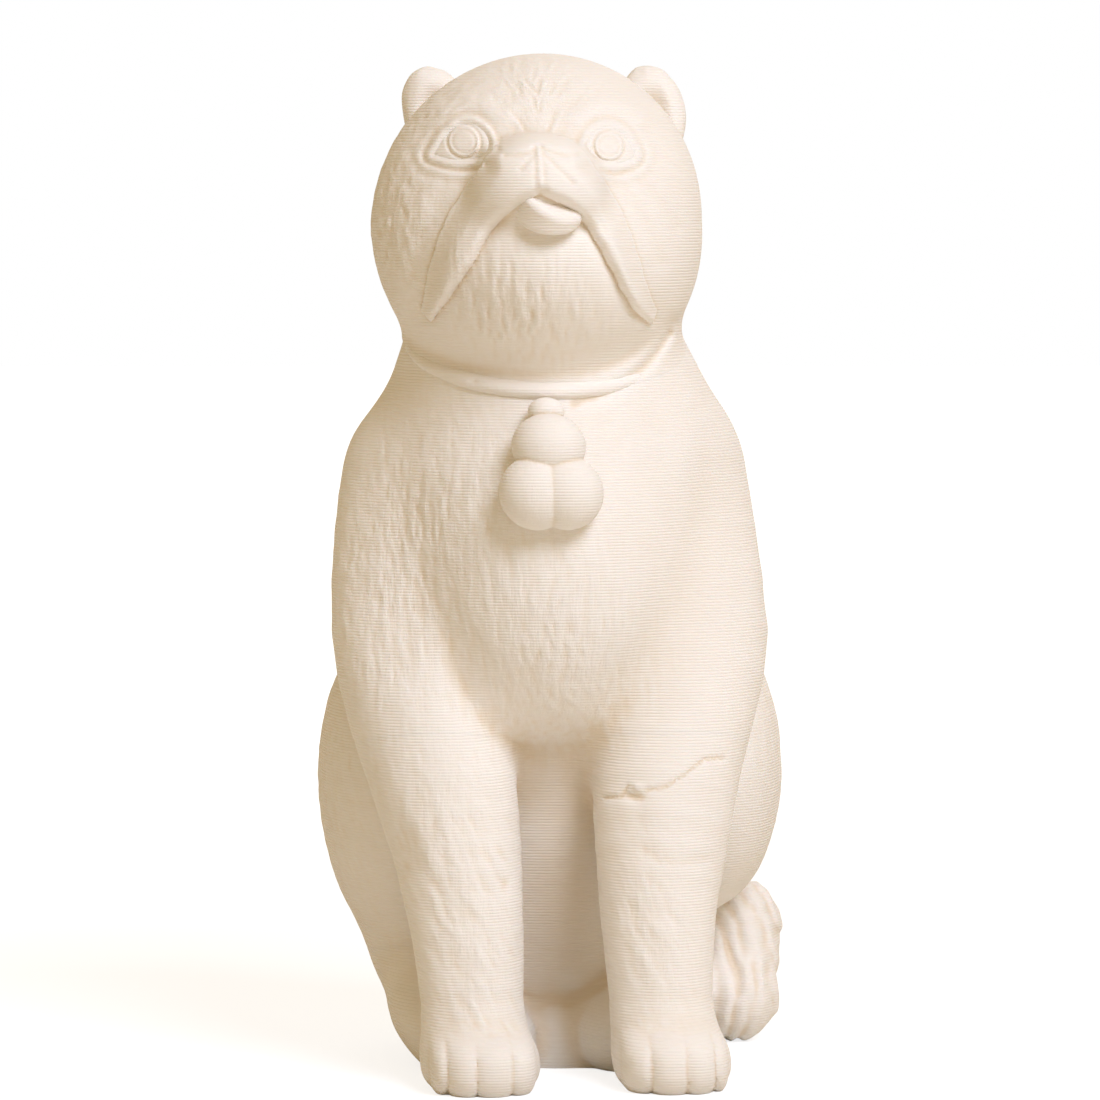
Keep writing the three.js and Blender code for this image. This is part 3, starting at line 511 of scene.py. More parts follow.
def encloses(across, height, outline):
    within = np.zeros(len(across), bool)
    for (x0, z0), (x1, z1) in zip(outline, outline[1:] + outline[:1]):
        if z0 != z1:
            straddles = (height < z0) != (height < z1)
            within ^= straddles & (across < x0 + (height - z0) * (x1 - x0) / (z1 - z0))
    return within


# The upper lip and nose stand proud of the face inside one outline
mouth_lines = {side: softened(line) for side, line in MOUTHS.items()}
outer_lines = {side: softened(line) for side, line in OUTER_FLEWS.items()}
nose_line = softened(NOSE_ARC)
lip_outline = (
    outer_lines[-1][::-1] + nose_line + outer_lines[1]
    + mouth_lines[1][::-1] + mouth_lines[-1]
)
LIP_HEIGHT = 3.0
LIP_EDGE = 3.2
FLEW_EDGE = 6.0
NOSE_EDGE = 4.4
FLEW_CREASE = 4.0
NOSE_CREASE = 2.6
MOUTH_CREASE = 2.2


def lip_relief(across, height):
    within = encloses(across, height, lip_outline)
    to_mouth = nearest(across, height, mouth_lines)
    to_outer = nearest(across, height, outer_lines)
    to_arc = to_line(across, height, nose_line)
    raised = swollen(to_mouth / LIP_EDGE) * smooth_step(0, 1, to_outer / FLEW_EDGE)
    raised *= 0.1 + 0.9 * swollen(to_arc / NOSE_EDGE)
    fade = 0.95 + 0.05 * smooth_step(22, 8, height)
    relief = np.where(within, LIP_HEIGHT * raised * fade, 0)
    shaded = np.where(across < 0, 1.8, 0.8)
    beside = shaded * mound(to_outer, FLEW_CREASE) + 0.9 * mound(to_arc, NOSE_CREASE)
    relief -= np.where(within, 0, 0.7 * beside)
    below = np.where(within, 0, mound(to_mouth, MOUTH_CREASE))
    return relief - 0.8 * below * smooth_step(-30, -24, height)


eye_outlines = {side: softened(line + line[:1], 3) for side, line in EYE_OPENINGS.items()}
SOCKET_DEPTH = 1.7
SOCKET_MARGIN = 0.9


# Rolls and creases round an eye: how wide each is and how far from the opening
LID_RIM = (1.0, 0.9)
LID_CREASE = (0.8, 2.5)
OUTER_ROLL = (1.0, 3.8)
OUTER_CREASE = (1.3, 5.6)


# How far a place lies outside the eye's opening, negative inside
def eye_gap(across, height, side):
    gap = to_line(across, height, eye_outlines[side])
    return np.where(encloses(across, height, eye_outlines[side]), -gap, gap)


def lid_relief(across, height, side):
    gap = eye_gap(across, height, side)
    middle_x, middle_z = EYE_MIDDLES[side]
    upper = smooth_step(-3, 4, height - middle_z)
    outer = smooth_step(-7, 5, side * (across - middle_x))
    folds = outer * (1 - 0.8 * upper)
    strength = 0.75 if side > 0 else 1.0
    relief = (0.5 + 0.3 * upper) * mound(gap, *LID_RIM)
    relief -= (0.1 + 0.25 * folds) * mound(gap, *LID_CREASE)
    relief += 0.18 * folds * mound(gap, *OUTER_ROLL)
    relief -= 0.18 * folds * mound(gap, *OUTER_CREASE)
    return strength * relief - SOCKET_DEPTH * smooth_step(-SOCKET_MARGIN, -SOCKET_MARGIN - 0.5, gap)


def front_relief(local):
    across, depth, height = local.T
    relief = base_relief(local)
    for side in (-1, 1):
        middle_x, middle_z = EYE_MIDDLES[side]
        near = np.hypot(across - middle_x, height - middle_z) < EYE_REACH
        relief[near] += lid_relief(across[near], height[near], side)
    return relief * smooth_step(FACE_DEPTH, FACE_DEPTH - 10, depth)


# The face without its lids
def base_relief(local):
    across, _, height = local.T
    uneven = noise(local, (3.5, 30, 3.5), 61)
    relief = lip_relief(across + 0.35 * uneven, height)
    for line, width, rise in FACE_ROLLS:
        relief += roll(across, height, line, width, rise)
    creased = [
        roll(across, height, crease, 0.8, depth)
        for depth, creases in NOSE_CREASES.items() for crease in creases
    ]
    return relief - np.max(creased, axis=0)


TUFT_LAYERS = [(1, (1.2, 5, 4.5), 11), (0.4, (0.8, 4, 2.5), 15)]
CHIN_LAYERS = [(1, (1.3, 4, 6), 12), (0.4, (0.9, 3, 3), 16)]
CHEEK_LAYERS = [(1, (2.4, 3, 2.8), 13), (0.5, (1.2, 2, 1.8), 17)]


# Strokes that rise and part to both sides of the forehead's middle line
def tuft_strokes(local):
    waved = local + 1.0 * noise(local, (5, 6, 5), 5)[:, None]
    aside = np.abs(waved[:, 0] - 0.5)
    height = waved[:, 2]
    combed = np.stack([0.9 * aside - 0.45 * height, waved[:, 1], 0.45 * aside + 0.9 * height], 1)
    return mixed(combed, TUFT_LAYERS) + 0.4 * np.exp(-aside)


def chin_strokes(local):
    return mixed(local, CHIN_LAYERS)


def cheek_mottle(local):
    return mixed(local, CHEEK_LAYERS)


def crown_combing(local):
    across, depth, height = local.T
    turned = np.stack([across + 0.6 * height, depth, height - 0.5 * across], 1)
    return noise(turned, (3.2, 4, 1.2), 14)


# Fur on the head: middle, radii and strength of each place, and its strokes
HEAD_FUR = [
    ((0.5, -34, 36), (12, 24, 13), 0.4, tuft_strokes),
    ((-8, -45, -22), (20, 18, 15), 0.5, chin_strokes),
    ((-37, -16, 0), (12, 18, 18), 0.5, cheek_mottle),
    ((-27, -20, 30), (18, 22, 13), 0.3, crown_combing),
]


def head_fur(local):
    return sum(
        spread(strength * patch(local, middle, radii), local, strokes)
        for middle, radii, strength, strokes in HEAD_FUR
    )


# Creases by the collar: one over it, deepest on the dog's right, and one under a roll on the left
COLLAR_CREASE = [
    (-41, 204), (-30, 197.5), (-20, 194.2), (-3, 192.6), (13.4, 194), (27, 200), (35, 207),
]
UNDER_CREASE = [(6, 185.3), (17.2, 189), (24.8, 193.4), (29.9, 198), (34.5, 203.5)]
UPPER_ROLL = [(15, 192.4), (22, 195.5), (27, 199.4), (31.5, 204.5)]


def collar_crease(points):
    across, depth, height = points.T
    front = smooth_step(-14, -30, depth)
    deeper = 0.7 + 0.4 * smooth_step(0, -25, across)
    over = deeper * roll(across, height, COLLAR_CREASE, 2.4, 1.0)
    under = roll(across, height, UNDER_CREASE, 1.5, 0.9)
    between = roll(across, height, UPPER_ROLL, 2.0, 0.3)
    return front * (between - over - under)


def head_detail(points):
    local = to_head(points)
    face = spread(local[:, 1] < FACE_DEPTH, local, front_relief)
    return face + head_fur(local) + collar_crease(points)


# Fur on the body: long soft strokes, and slanting waves on the lower legs
COAT_LAYERS = [(0.65, (1.25, 2.6, 6.0), 22), (0.5, (0.95, 2.0, 3.5), 23)]
WAVED_LEGS = [
    ((-33, -64, 68), (16, 24, 20), 1),
    ((-26, -72, 36), (16, 16, 16), 1),
    ((21, -70, 42), (12, 20, 22), 0.8),
]
FUR_DEPTH = 0.4


def fur_strokes(points):
    swayed = points + 1.8 * noise(points, (12, 14, 16), 21)[:, None]
    swayed[:, 0] += 0.1 * points[:, 2] - 0.35 * np.maximum(75 - points[:, 2], 0)
    return mixed(swayed, COAT_LAYERS)


def leg_waves(points):
    slanted = points.copy()
    slanted[:, 0] += 0.5 * points[:, 2]
    return noise(slanted, (2.3, 5, 7), 25)


# Where the coat shows strokes, from 0 to 1: middle, radii and strength of each tuft
COAT = [
    ((-20, -60, 150), (24, 40, 34), 0.9),
    ((2, -66, 118), (20, 30, 20), 0.8),
    ((0, -62, 98), (16, 30, 12), 0.6),
    ((-46, -40, 130), (16, 30, 45), 0.8),
    ((-34, -66, 70), (14, 24, 20), 0.8),
    ((-26, -72, 34), (14, 20, 20), 0.8),
    ((20, -70, 44), (11, 20, 26), 0.8),
    ((-62, 6, 70), (16, 40, 40), 0.8),
    ((64, 6, 90), (16, 40, 30), 0.6),
    ((0, 60, 110), (60, 40, 90), 0.4),
]
HEAD_COAT = [
    ((0.5, -34, 36), (14, 24, 14), 0.8),
    ((-8, -45, -22), (22, 18, 15), 0.8),
    ((-37, -16, 0), (13, 20, 26), 1.0),
    ((-25, -36, -6), (8, 20, 18), 0.7),
    ((30, -16, 30), (16, 24, 16), 0.4),
]


def fur_share(points):
    share = patches(points, COAT) + patches(to_head(points), HEAD_COAT)
    return np.clip(share, 0, 1)


# The chest hangs over the arms along this line, in the upright figure's X and Z
BIB = [
    (-41, 158), (-35.9, 143.1), (-30.5, 124), (-26.2, 107.8), (-21, 98), (-14.5, 92.8),
    (-1, 89.5), (10, 92.6), (17.2, 104.8), (25, 122), (31, 140),
]
bib_line = softened(BIB)
BIB_DEPTH = -24
BIB_WIDTH = 12
BIB_CREASE = 5.5


def bib_relief(across, depth, height):
    gap = to_line(across, height, bib_line)
    within = encloses(across, height, bib_line)
    strength = smooth_step(BIB_DEPTH, BIB_DEPTH - 12, depth) * smooth_step(150, 112, height)
    strength *= 0.75 + 0.25 * smooth_step(6, -10, across)
    crisp = 0.8 * smooth_step(4, -12, across)
    depth = 0.9 + 0.3 * crisp
    rising = crisp * swollen(gap / BIB_WIDTH) + (1 - crisp) * smooth_step(0, BIB_WIDTH + 1, gap)
    return strength * np.where(within, 1.9 * rising - depth, -depth * mound(gap, BIB_CREASE))


CRACK = [
    (11.5, 77.7), (15.4, 78.3), (17.4, 81.2), (19.5, 80.1), (22.5, 80.4), (26.9, 81.2),
    (32.7, 84.6), (38.3, 88.4), (43.7, 88.4),
]
CRACK_WIDTH = 0.6
CRACK_DEPTH = 0.75
WRINKLES = [
    [(-46.9, 61.6), (-42.4, 57.8), (-36.4, 55.5)],
    [(-27.4, 54.2), (-18.5, 53.2)],
    [(17.5, 67), (23.5, 61.6), (32.5, 60.9), (41.5, 63.2)],
    [(19.7, 77), (21.2, 64)],
]
# Middle, radii and rise of the chip and its rim, and of small dents and a swell by the legs
CHIP = [
    ((18.8, -62, 78.6), (2.8, 8, 1.3), -1.5),
    ((19.4, -62, 80.7), (1.6, 8, 1.2), 1.2),
]
DENTS = [
    ((4, -22, 22), (5, 14, 4.5), 1.0),
    ((-17.3, -66, 55.8), (1.0, 6, 1.3), -0.6),
    ((-44, -58, 64.5), (4.5, 8, 7), -1.2),
]


def body_detail(points):
    across, depth, height = points.T
    relief = spread(FUR_DEPTH * fur_share(points), points, fur_strokes)
    relief += spread(FUR_DEPTH * patches(points, WAVED_LEGS), points, leg_waves)
    relief += 0.25 * noise(points, (9, 9, 12), 24)
    relief += bib_relief(across, depth, height)
    front = smooth_step(-44, -52, depth)
    relief -= front * CRACK_DEPTH * mound(to_line(across, height, CRACK), CRACK_WIDTH)
    for middle, radii, rise in CHIP:
        relief += front * rise * patch(points, middle, radii)
    for wrinkle in WRINKLES:
        relief -= front * roll(across, height, wrinkle, 1.8, 0.2)
    for middle, radii, rise in DENTS:
        relief += rise * patch(points, middle, radii)
    return relief + toe_relief(points) + collar_crease(points)


# Toes: soft swells across the front of each paw, with grooves between them
def toe_relief(points):
    side = one_side(points, PAW_SHIFT)
    near = (side[:, 1] < TOE_FRONT + 4) & (side[:, 2] < TOE_TOP + 6)
    across, depth, height = side[near].T
    (middle, paw_y, _), (_, paw_length, _) = PAW
    across = middle + (across - middle) * (1 + TOE_FAN * (depth - paw_y + paw_length))
    swell = np.zeros(len(across))
    for left, right in zip(TOE_EDGES, TOE_EDGES[1:]):
        share = (2 * across - left - right) / (right - left)
        swell = np.where(np.abs(share) < 1, np.sqrt(np.maximum(1 - share * share, 0)), swell)
    fade = smooth_step(TOE_FRONT + 2, TOE_FRONT - 9, depth)
    fade *= smooth_step(TOE_TOP + 5, TOE_TOP - 4, height)
    relief = np.zeros(len(points))
    relief[near] = TOE_RELIEF * fade * (swell - 0.75)
    return relief


STRAND_WIDTH = 5.5
WAVE_LENGTH = 5


def tail_detail(points):
    across, depth, height = points.T
    crest_z = TAIL_CREST[0][2]
    front = smooth_step(62, 40, depth)
    bow = (height - 18) / 20
    strand = across - 51 + 5.5 * bow * bow + 2.0 * noise(points, (7, 10, 9), 31)
    falling = np.cos(strand * 2 * math.pi / STRAND_WIDTH)
    wave = height - crest_z + 0.1 * depth + noise(points, (9, 14, 9), 33)
    running = np.cos(wave * 2 * math.pi / WAVE_LENGTH)
    relief = 0.5 * front * falling + 0.35 * (1 - front) * running
    relief -= 3.0 * patch(points, (53, 20, 24), (3.0, 14, 8))
    return relief + 0.35 * noise(points, (2.0, 5.0, 3.0), 32)


# Surfaces: a mass is sampled near its surface on a fine grid, one vertex to each crossed cell
REACH = 3.6
CHUNK = 400000
BLOCK_SIZE = 6
FAR = 99
MENDING_ROUNDS = 4
UNITS = np.eye(3, dtype=int)
LEAST_LENGTH = 1e-15


def sampled(mass, detail, points):
    values = np.empty(len(points), np.float32)
    for start in range(0, len(points), CHUNK):
        part = points[start:start + CHUNK]
        value = mass(part)
        near = np.abs(value) < REACH
        if detail is not None and near.any():
            value[near] -= detail(part[near])
        values[start:start + CHUNK] = value
    return values


def grid_places(counts):
    places = np.meshgrid(*[np.arange(count) for count in counts], indexing="ij")
    return np.stack(places, -1).reshape(-1, 3)


# The mass on a grid, fine in the blocks near its surface and only in or out elsewhere
def grid_values(mass, detail, lower, upper, steps):
    spans = np.ceil((upper - lower) / (steps * BLOCK_SIZE)).astype(int) + 1
    middles = grid_places(spans)
    centres = lower + (middles * BLOCK_SIZE + (BLOCK_SIZE - 1) / 2).astype(np.float32) * steps
    coarse = mass(centres)
    values = np.where(coarse < 0, -FAR, FAR).astype(np.float32).reshape(spans)
    for axis in range(3):
        values = values.repeat(BLOCK_SIZE, axis)
    active = middles[np.abs(coarse) < 0.6 * BLOCK_SIZE * np.linalg.norm(steps) + REACH - 1]
    inner = grid_places([BLOCK_SIZE] * 3)
    cells = (active[:, None, :] * BLOCK_SIZE + inner[None]).reshape(-1, 3)
    values[tuple(cells.T)] = sampled(mass, detail, lower + cells.astype(np.float32) * steps)
    return values


# A vertex for each cell that the surface crosses, and the number of each such cell
def crossings(values):
    inside = values < 0
    shape = np.array(values.shape)
    count = np.zeros(shape - 1, np.uint8)
    corners = grid_places([2, 2, 2])
    for corner in corners:
        count += inside[tuple(slice(k, size - 1 + k) for k, size in zip(corner, shape))]
    crossed = np.argwhere((count > 0) & (count < len(corners)))
    number = np.full(shape - 1, -1, np.int32)
    number[tuple(crossed.T)] = np.arange(len(crossed))
    total = np.zeros((len(crossed), 3), np.float64)
    hits = np.zeros(len(crossed))
    for axis, unit in enumerate(UNITS):
        for corner in corners[corners[:, axis] == 0]:
            a = values[tuple((crossed + corner).T)]
            b = values[tuple((crossed + corner + unit).T)]
            hit = (a < 0) != (b < 0)
            share = a[hit] / (a[hit] - b[hit])
            total[hit] += crossed[hit] + corner + share[:, None] * unit
            hits[hit] += 1
    return total / hits[:, None], number


# The ring of four vertices about each grid edge that crosses the surface
def rings(inside, number):
    faces = []
    for axis in range(3):
        _, first, second = np.roll(UNITS, -axis, axis=0)
        at = np.argwhere(np.diff(inside, axis=axis))
        cells = (at, at - first, at - first - second, at - second)
        quad = np.stack([number[tuple(cell.T)] for cell in cells], 1)
        solid = inside[tuple(at.T)]
        quad[~solid] = quad[~solid][:, ::-1]
        faces.append(quad)
    return np.concatenate(faces)


# One step along the slope brings each vertex onto the surface
def on_surface(mass, detail, vertices, step):
    probe = np.float32(0.2 * step)
    value = sampled(mass, detail, vertices)
    slope = np.empty_like(vertices)
    for axis, unit in enumerate(UNITS):
        ahead = vertices + probe * unit.astype(np.float32)
        slope[:, axis] = (sampled(mass, detail, ahead) - value) / probe
    steep = np.maximum(np.einsum("ij,ij->i", slope, slope), 0.2)
    return vertices - np.clip(value / steep, -step / 2, step / 2)[:, None] * slope


# Triangles along each quad's shorter diagonal, but for those that would crowd an edge
def split(vertices, quads):
    a, b, c, d = (vertices[quads[:, k]] for k in range(4))
    short = np.linalg.norm(a - c, axis=1) <= np.linalg.norm(b - d, axis=1)
    for _ in range(MENDING_ROUNDS):
        crowded = crowded_edges(halves(quads, short))
        if not len(crowded):
            break
        diagonal = np.where(short[:, None], quads[:, [0, 2]], quads[:, [1, 3]])
        short ^= np.isin(edge_keys(diagonal), crowded)
    return halves(quads, short)


def surface(whole_mass, detail, box, step):
    lower = vector(box[0])
    upper = np.array(box[1])
    middle = (lower + upper) / 2
    steps = step * vector(STEP_SHAPE)
    half_size = (upper - lower) / 2 - 2 * steps

    def mass(points):
        return np.maximum(whole_mass(points), np.max(np.abs(points - middle) - half_size, axis=1))

    values = grid_values(mass, detail, lower, upper, steps)
    places, number = crossings(values)
    vertices = (lower + places * steps).astype(np.float32)
    vertices = on_surface(mass, detail, vertices, step)
    triangles = split(vertices, rings(values < 0, number))
    return shaped(*unpinched(vertices, triangles))


def halves(quads, short):
    short = short[:, None]
    one = np.where(short, quads[:, [0, 1, 2]], quads[:, [0, 1, 3]])
    two = np.where(short, quads[:, [0, 2, 3]], quads[:, [1, 2, 3]])
    return np.concatenate([one, two])


def edge_keys(edges):
    return edges.min(1).astype(np.int64) << 32 | edges.max(1).astype(np.int64)


def edges_of(triangles):
    return np.concatenate([triangles[:, [0, 1]], triangles[:, [1, 2]], triangles[:, [2, 0]]])


# Edges with more than two faces
def crowded_edges(triangles):
    keys, counts = np.unique(edge_keys(edges_of(triangles)), return_counts=True)
    return keys[counts > 2]


def unit_rows(rows):
    return rows / np.maximum(np.linalg.norm(rows, axis=-1, keepdims=True), LEAST_LENGTH)


def facings(vertices, triangles):
    a, b, c = (vertices[triangles[:, k]] for k in range(3))
    return np.cross(b - a, c - a)


# Where sheets of the surface share a vertex, each sheet gets a vertex of its own
def unpinched(vertices, triangles):
    crowded = crowded_edges(triangles)
    ends = np.unique(np.concatenate([crowded >> 32, crowded & 0xFFFFFFFF]))
    added = []
    for vertex in ends:
        faces = np.nonzero((triangles == vertex).any(1))[0]
        sheets = []
        for face in faces:
            others = {int(v) for v in triangles[face] if v != vertex}
            others = {v for v in others if edge_keys(np.array([[vertex, v]]))[0] not in crowded}
            touching = [sheet for sheet in sheets if sheet[0] & others]
            for sheet in touching:
                others |= sheet[0]
                sheets.remove(sheet)
            sheets.append((others, [face] + [f for sheet in touching for f in sheet[1]]))
        for _, own in sheets[1:]:
            rows = triangles[own]
            rows[rows == vertex] = len(vertices) + len(added)
            triangles[own] = rows
            added.append(vertices[vertex])
    if added:
        vertices = np.concatenate([vertices, np.array(added, vertices.dtype)])
    return vertices, triangles


# The sum of the rows that share an index
def summed(index, rows, count):
    return np.stack([np.bincount(index, column, count) for column in rows.T], 1)


# A mesh of the surface, with its skin's normals and hollowness kept on the corners; the hollowness
# sets the painted shade
def shaped(vertices, triangles):
    facing = facings(vertices, triangles)
    normals = unit_rows(sum(summed(ends, facing, len(vertices)) for ends in triangles.T))
    mesh = filled_mesh("skin", vertices, triangles)
    skin = mesh.attributes.new("skin", "FLOAT_VECTOR", "CORNER")
    skin.data.foreach_set("vector", normals[triangles].astype(np.float32).ravel())
    set_corners(mesh, "hollow_shade", hollowness(vertices, normals, triangles)[triangles])
    return linked(mesh)


def set_corners(mesh, name, values):
    layer = mesh.attributes.new(name, "FLOAT", "CORNER")
    layer.data.foreach_set("value", values.astype(np.float32).ravel())


def filled_mesh(name, vertices, triangles):
    mesh = bpy.data.meshes.new(name)
    mesh.vertices.add(len(vertices))
    mesh.vertices.foreach_set("co", vertices.astype(np.float32).ravel())
    mesh.loops.add(triangles.size)
    mesh.loops.foreach_set("vertex_index", triangles.astype(np.int32).ravel())
    mesh.polygons.add(len(triangles))
    mesh.polygons.foreach_set("loop_start", np.arange(0, triangles.size, 3, dtype=np.int32))
    mesh.update(calc_edges=True)
    return mesh


def linked(data):
    item = bpy.data.objects.new(data.name, data)
    bpy.context.scene.collection.objects.link(item)
    return item


# How far each vertex lies under the surface's own average round it
def hollowness(vertices, normals, triangles, rounds=14):
    pairs = edges_of(triangles)
    counts = np.maximum(np.bincount(pairs[:, 0], minlength=len(vertices)), 1)
    smooth = vertices.astype(np.float64)
    for _ in range(rounds):
        moved = summed(pairs[:, 0], smooth[pairs[:, 1]], len(vertices))
        smooth = 0.5 * smooth + 0.5 * moved / counts[:, None]
    return np.einsum("ij,ij->i", smooth - vertices, normals)


# Cutters: a block or a ball, trimmed by planes given as a place and a normal
def trimmed(solid, planes):
    for origin, normal in planes:
        everything = solid.verts[:] + solid.edges[:] + solid.faces[:]
        cut = bmesh.ops.bisect_plane(
            solid, geom=everything, plane_co=origin, plane_no=normal, clear_outer=True
        )
        rim = [item for item in cut["geom_cut"] if isinstance(item, bmesh.types.BMEdge)]
        bmesh.ops.contextual_create(solid, geom=rim)
    bmesh.ops.recalc_face_normals(solid, faces=solid.faces[:])
    mesh = bpy.data.meshes.new("cutter")
    solid.to_mesh(mesh)
    solid.free()
    return linked(mesh)


def block_cutter(planes):
    solid = bmesh.new()
    bmesh.ops.create_cube(solid, size=2 * BEYOND)
    return trimmed(solid, planes)


def cut(item, cutter, operation):
    tool = item.modifiers.new("cut", "BOOLEAN")
    tool.solver = "MANIFOLD"
    tool.operation = operation
    tool.object = cutter
    graph = bpy.context.evaluated_depsgraph_get()
    mesh = bpy.data.meshes.new_from_object(item.evaluated_get(graph))
    item.modifiers.clear()
    return linked(mesh)


def kept(item, cutter, operation):
    part = cut(item, cutter, operation)
    discard(item, cutter)
    return part


# The share of an item inside a cutter, and the rest of it
def parted(item, cutter):
    inside = cut(item, cutter, "INTERSECT")
    return inside, kept(item, cutter, "DIFFERENCE")


def discard(*items):
    for item in items:
        mesh = item.data
        bpy.data.objects.remove(item)
        bpy.data.meshes.remove(mesh)


def fore_leg_space(side):
    top, back = FORELEG_TOP_TILT, FORELEG_BACK_TILT
    return block_cutter([
        ((0, PAW[0][1], FORELEG_TOP), (0, math.sin(top), math.cos(top))),
        ((0, FORELEG_BACK_Y, ELBOW[0][2]), (0, math.cos(back), -math.sin(back))),
        ((side * FORELEG_INNER_X + FORE_SHIFT, 0, 0), (-side, 0, 0)),
    ])


def foot_space(side):
    return block_cutter([
        ((0, 0, FOOT_TOP), (0, 0, 1)),
        ((0, FOOT_BACK_Y, 0), (0, 1, 0)),
        ((side * FOOT_INNER_X, 0, 0), (-side, 0, 0)),
    ])


def haunch_space(side):
    centre, radii = haunch_size(side, HAUNCH_BED_MARGIN)
    centre[0] = side * centre[0] + HIND_SHIFT
    solid = bmesh.new()
    bmesh.ops.create_icosphere(solid, subdivisions=BED_ROUNDNESS, radius=1)
    bmesh.ops.scale(solid, verts=solid.verts, vec=radii)
    bmesh.ops.translate(solid, verts=solid.verts, vec=centre)
    return trimmed(solid, [((side * HAUNCH_FACE_X + HIND_SHIFT, 0, 0), (-side, 0, 0))])


SIDES = {"left": 1, "right": -1}
seam_place = (0, NECK_AXIS_Y, NECK_SEAM_HEIGHT)
seam_up = (0, -math.sin(NECK_SEAM_TILT), math.cos(NECK_SEAM_TILT))


def below_seam():
    return block_cutter([(seam_place, seam_up)])


def above_ground(item):
    return kept(item, block_cutter([((0, 0, 0), (0, 0, -1))]), "INTERSECT")


# Where the upright figure lies in the frame: the collar's box gives the shift
collar_low, collar_high = (np.array(corner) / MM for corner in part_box("collar"))
collar_middle = (collar_low + collar_high) / 2
shift = np.array([
    LEAN * (collar_middle[2] - LEAN_PIVOT) - collar_middle[0],
    NECK_AXIS_Y - COLLAR_FORWARD * math.cos(NECK_SEAM_TILT) - collar_middle[1],
    0,
])


def placed(vertices):
    leant = vertices.astype(np.float64)
    leant[:, 0] += LEAN * (leant[:, 2] - LEAN_PIVOT)
    return (leant - shift) * MM


# A maker of nodes: settings come first, then each input is linked to a socket or given a value
def node_maker(owner):
    owner.use_nodes = True
    tree = owner.node_tree
    tree.nodes.clear()

    def add(kind, inputs=None, **settings):
        node = tree.nodes.new("ShaderNode" + kind)
        for name, value in settings.items():
            setattr(node, name, value)
        for name, value in (inputs or {}).items():
            if isinstance(value, bpy.types.NodeSocket):
                tree.links.new(value, node.inputs[name])
            else:
                node.inputs[name].default_value = value
        return node.outputs
    return add


# Clay: warm cream with painted tan shade in the hollows, with level layers and a fine grain
SHADE_TAN = (0.83, 0.715, 0.565, 1)
CREAM = (0.91, 0.862, 0.795, 1)
CLAY = {
    "Roughness": 0.85,
    "Specular IOR Level": 0.25,
    "Subsurface Weight": 0.12,
    "Subsurface Radius": (1.0, 0.6, 0.35),
    "Subsurface Scale": 0.0015,
}
CLOUD = (22, 3, 0.5)  # textures: scale, detail and roughness
WAVER = (60, 2, 0.5)
GRAIN = (1500, 2, 0.6)
HAIRS = (850, 2, 0.6)
CLOUD_SHADES = {"To Min": 0.94, "To Max": 1.04}
WAVER_SHARE = 0.35
RIDGE_SHARE = 0.8
GRAIN_SHARE = 0.35
HAIR_SHARE = 3.0
HAIR_SHAPE = {"Rotation": (0, math.radians(8), 0), "Scale": (1.0, 0.6, 0.2)}
RELIEF_HEIGHT = 0.00013


def clay_material():
    material = bpy.data.materials.new("bisque_clay")
    add = node_maker(material)
    place = add("TexCoord")["Object"]

    def texture(kind, where=place):
        scale, detail, roughness = kind
        inputs = {"Vector": where, "Scale": scale, "Detail": detail, "Roughness": roughness}
        return add("TexNoise", inputs)["Fac"]

    def maths(operation, *values):
        return add("Math", dict(enumerate(values)), operation=operation)[0]

    def attribute(name):
        return add("Attribute", attribute_name=name)["Fac"]

    # Painted shade: the clay goes tan in hollows, where shade falls, and cream on ridges
    painted_shade = add("ValToRGB", {"Fac": attribute("hollow_shade")})
    ramp = painted_shade["Color"].node.color_ramp
    ramp.interpolation = "EASE"
    for stop, colour in zip(ramp.elements, (SHADE_TAN, CREAM)):
        stop.color = colour
    shade = add("MapRange", {**CLOUD_SHADES, "Value": texture(CLOUD)})["Result"]
    mottled = {"Factor": 1.0, "A": painted_shade["Color"], "B": shade}
    colour = add("Mix", mottled, data_type="RGBA", blend_type="MULTIPLY")

    height = add("SeparateXYZ", {"Vector": place})["Z"]
    waver = maths("MULTIPLY", texture(WAVER), WAVER_SHARE)
    share = maths("FRACT", maths("ADD", maths("MULTIPLY", height, 1 / (LAYER * MM)), waver))
    ridge = maths("MULTIPLY", maths("MULTIPLY", share, maths("SUBTRACT", 1.0, share)), 4.0)
    grain = maths("MULTIPLY", texture(GRAIN), GRAIN_SHARE)
    relief = maths("ADD", maths("MULTIPLY", ridge, RIDGE_SHARE), grain)
    hairs = texture(HAIRS, add("Mapping", {**HAIR_SHAPE, "Vector": place})["Vector"])
    strength = maths("MULTIPLY", attribute("fur"), HAIR_SHARE)
    relief = maths("ADD", relief, maths("MULTIPLY", hairs, strength))
    bump = add("Bump", {"Strength": 1.0, "Distance": RELIEF_HEIGHT, "Height": relief})
    shader = add("BsdfPrincipled", {
        **CLAY, "Base Color": colour["Result"], "Normal": bump["Normal"],
    })
    add("OutputMaterial", {"Surface": shader["BSDF"]})
    return material


clay = clay_material()
# Painted shade: the clay goes tan with hollowness and in the belly recess between the legs, where
# shade falls, and paler on ridges
HOLLOW_DEPTH = 0.6
LEVEL_SHADE = 0.75
BELLY_SHADE = ((0, -25, 52), (13, 22, 34))
BELLY_SHADE_TAN = 0.5
LEAST_SKIN = 0.2


# What a mesh keeps for each of its places, one row for each
def rows_of(places, field, width, kind=np.float32):
    values = np.empty(len(places) * width, kind)
    places.foreach_get(field, values)
    return values.reshape(-1, width)
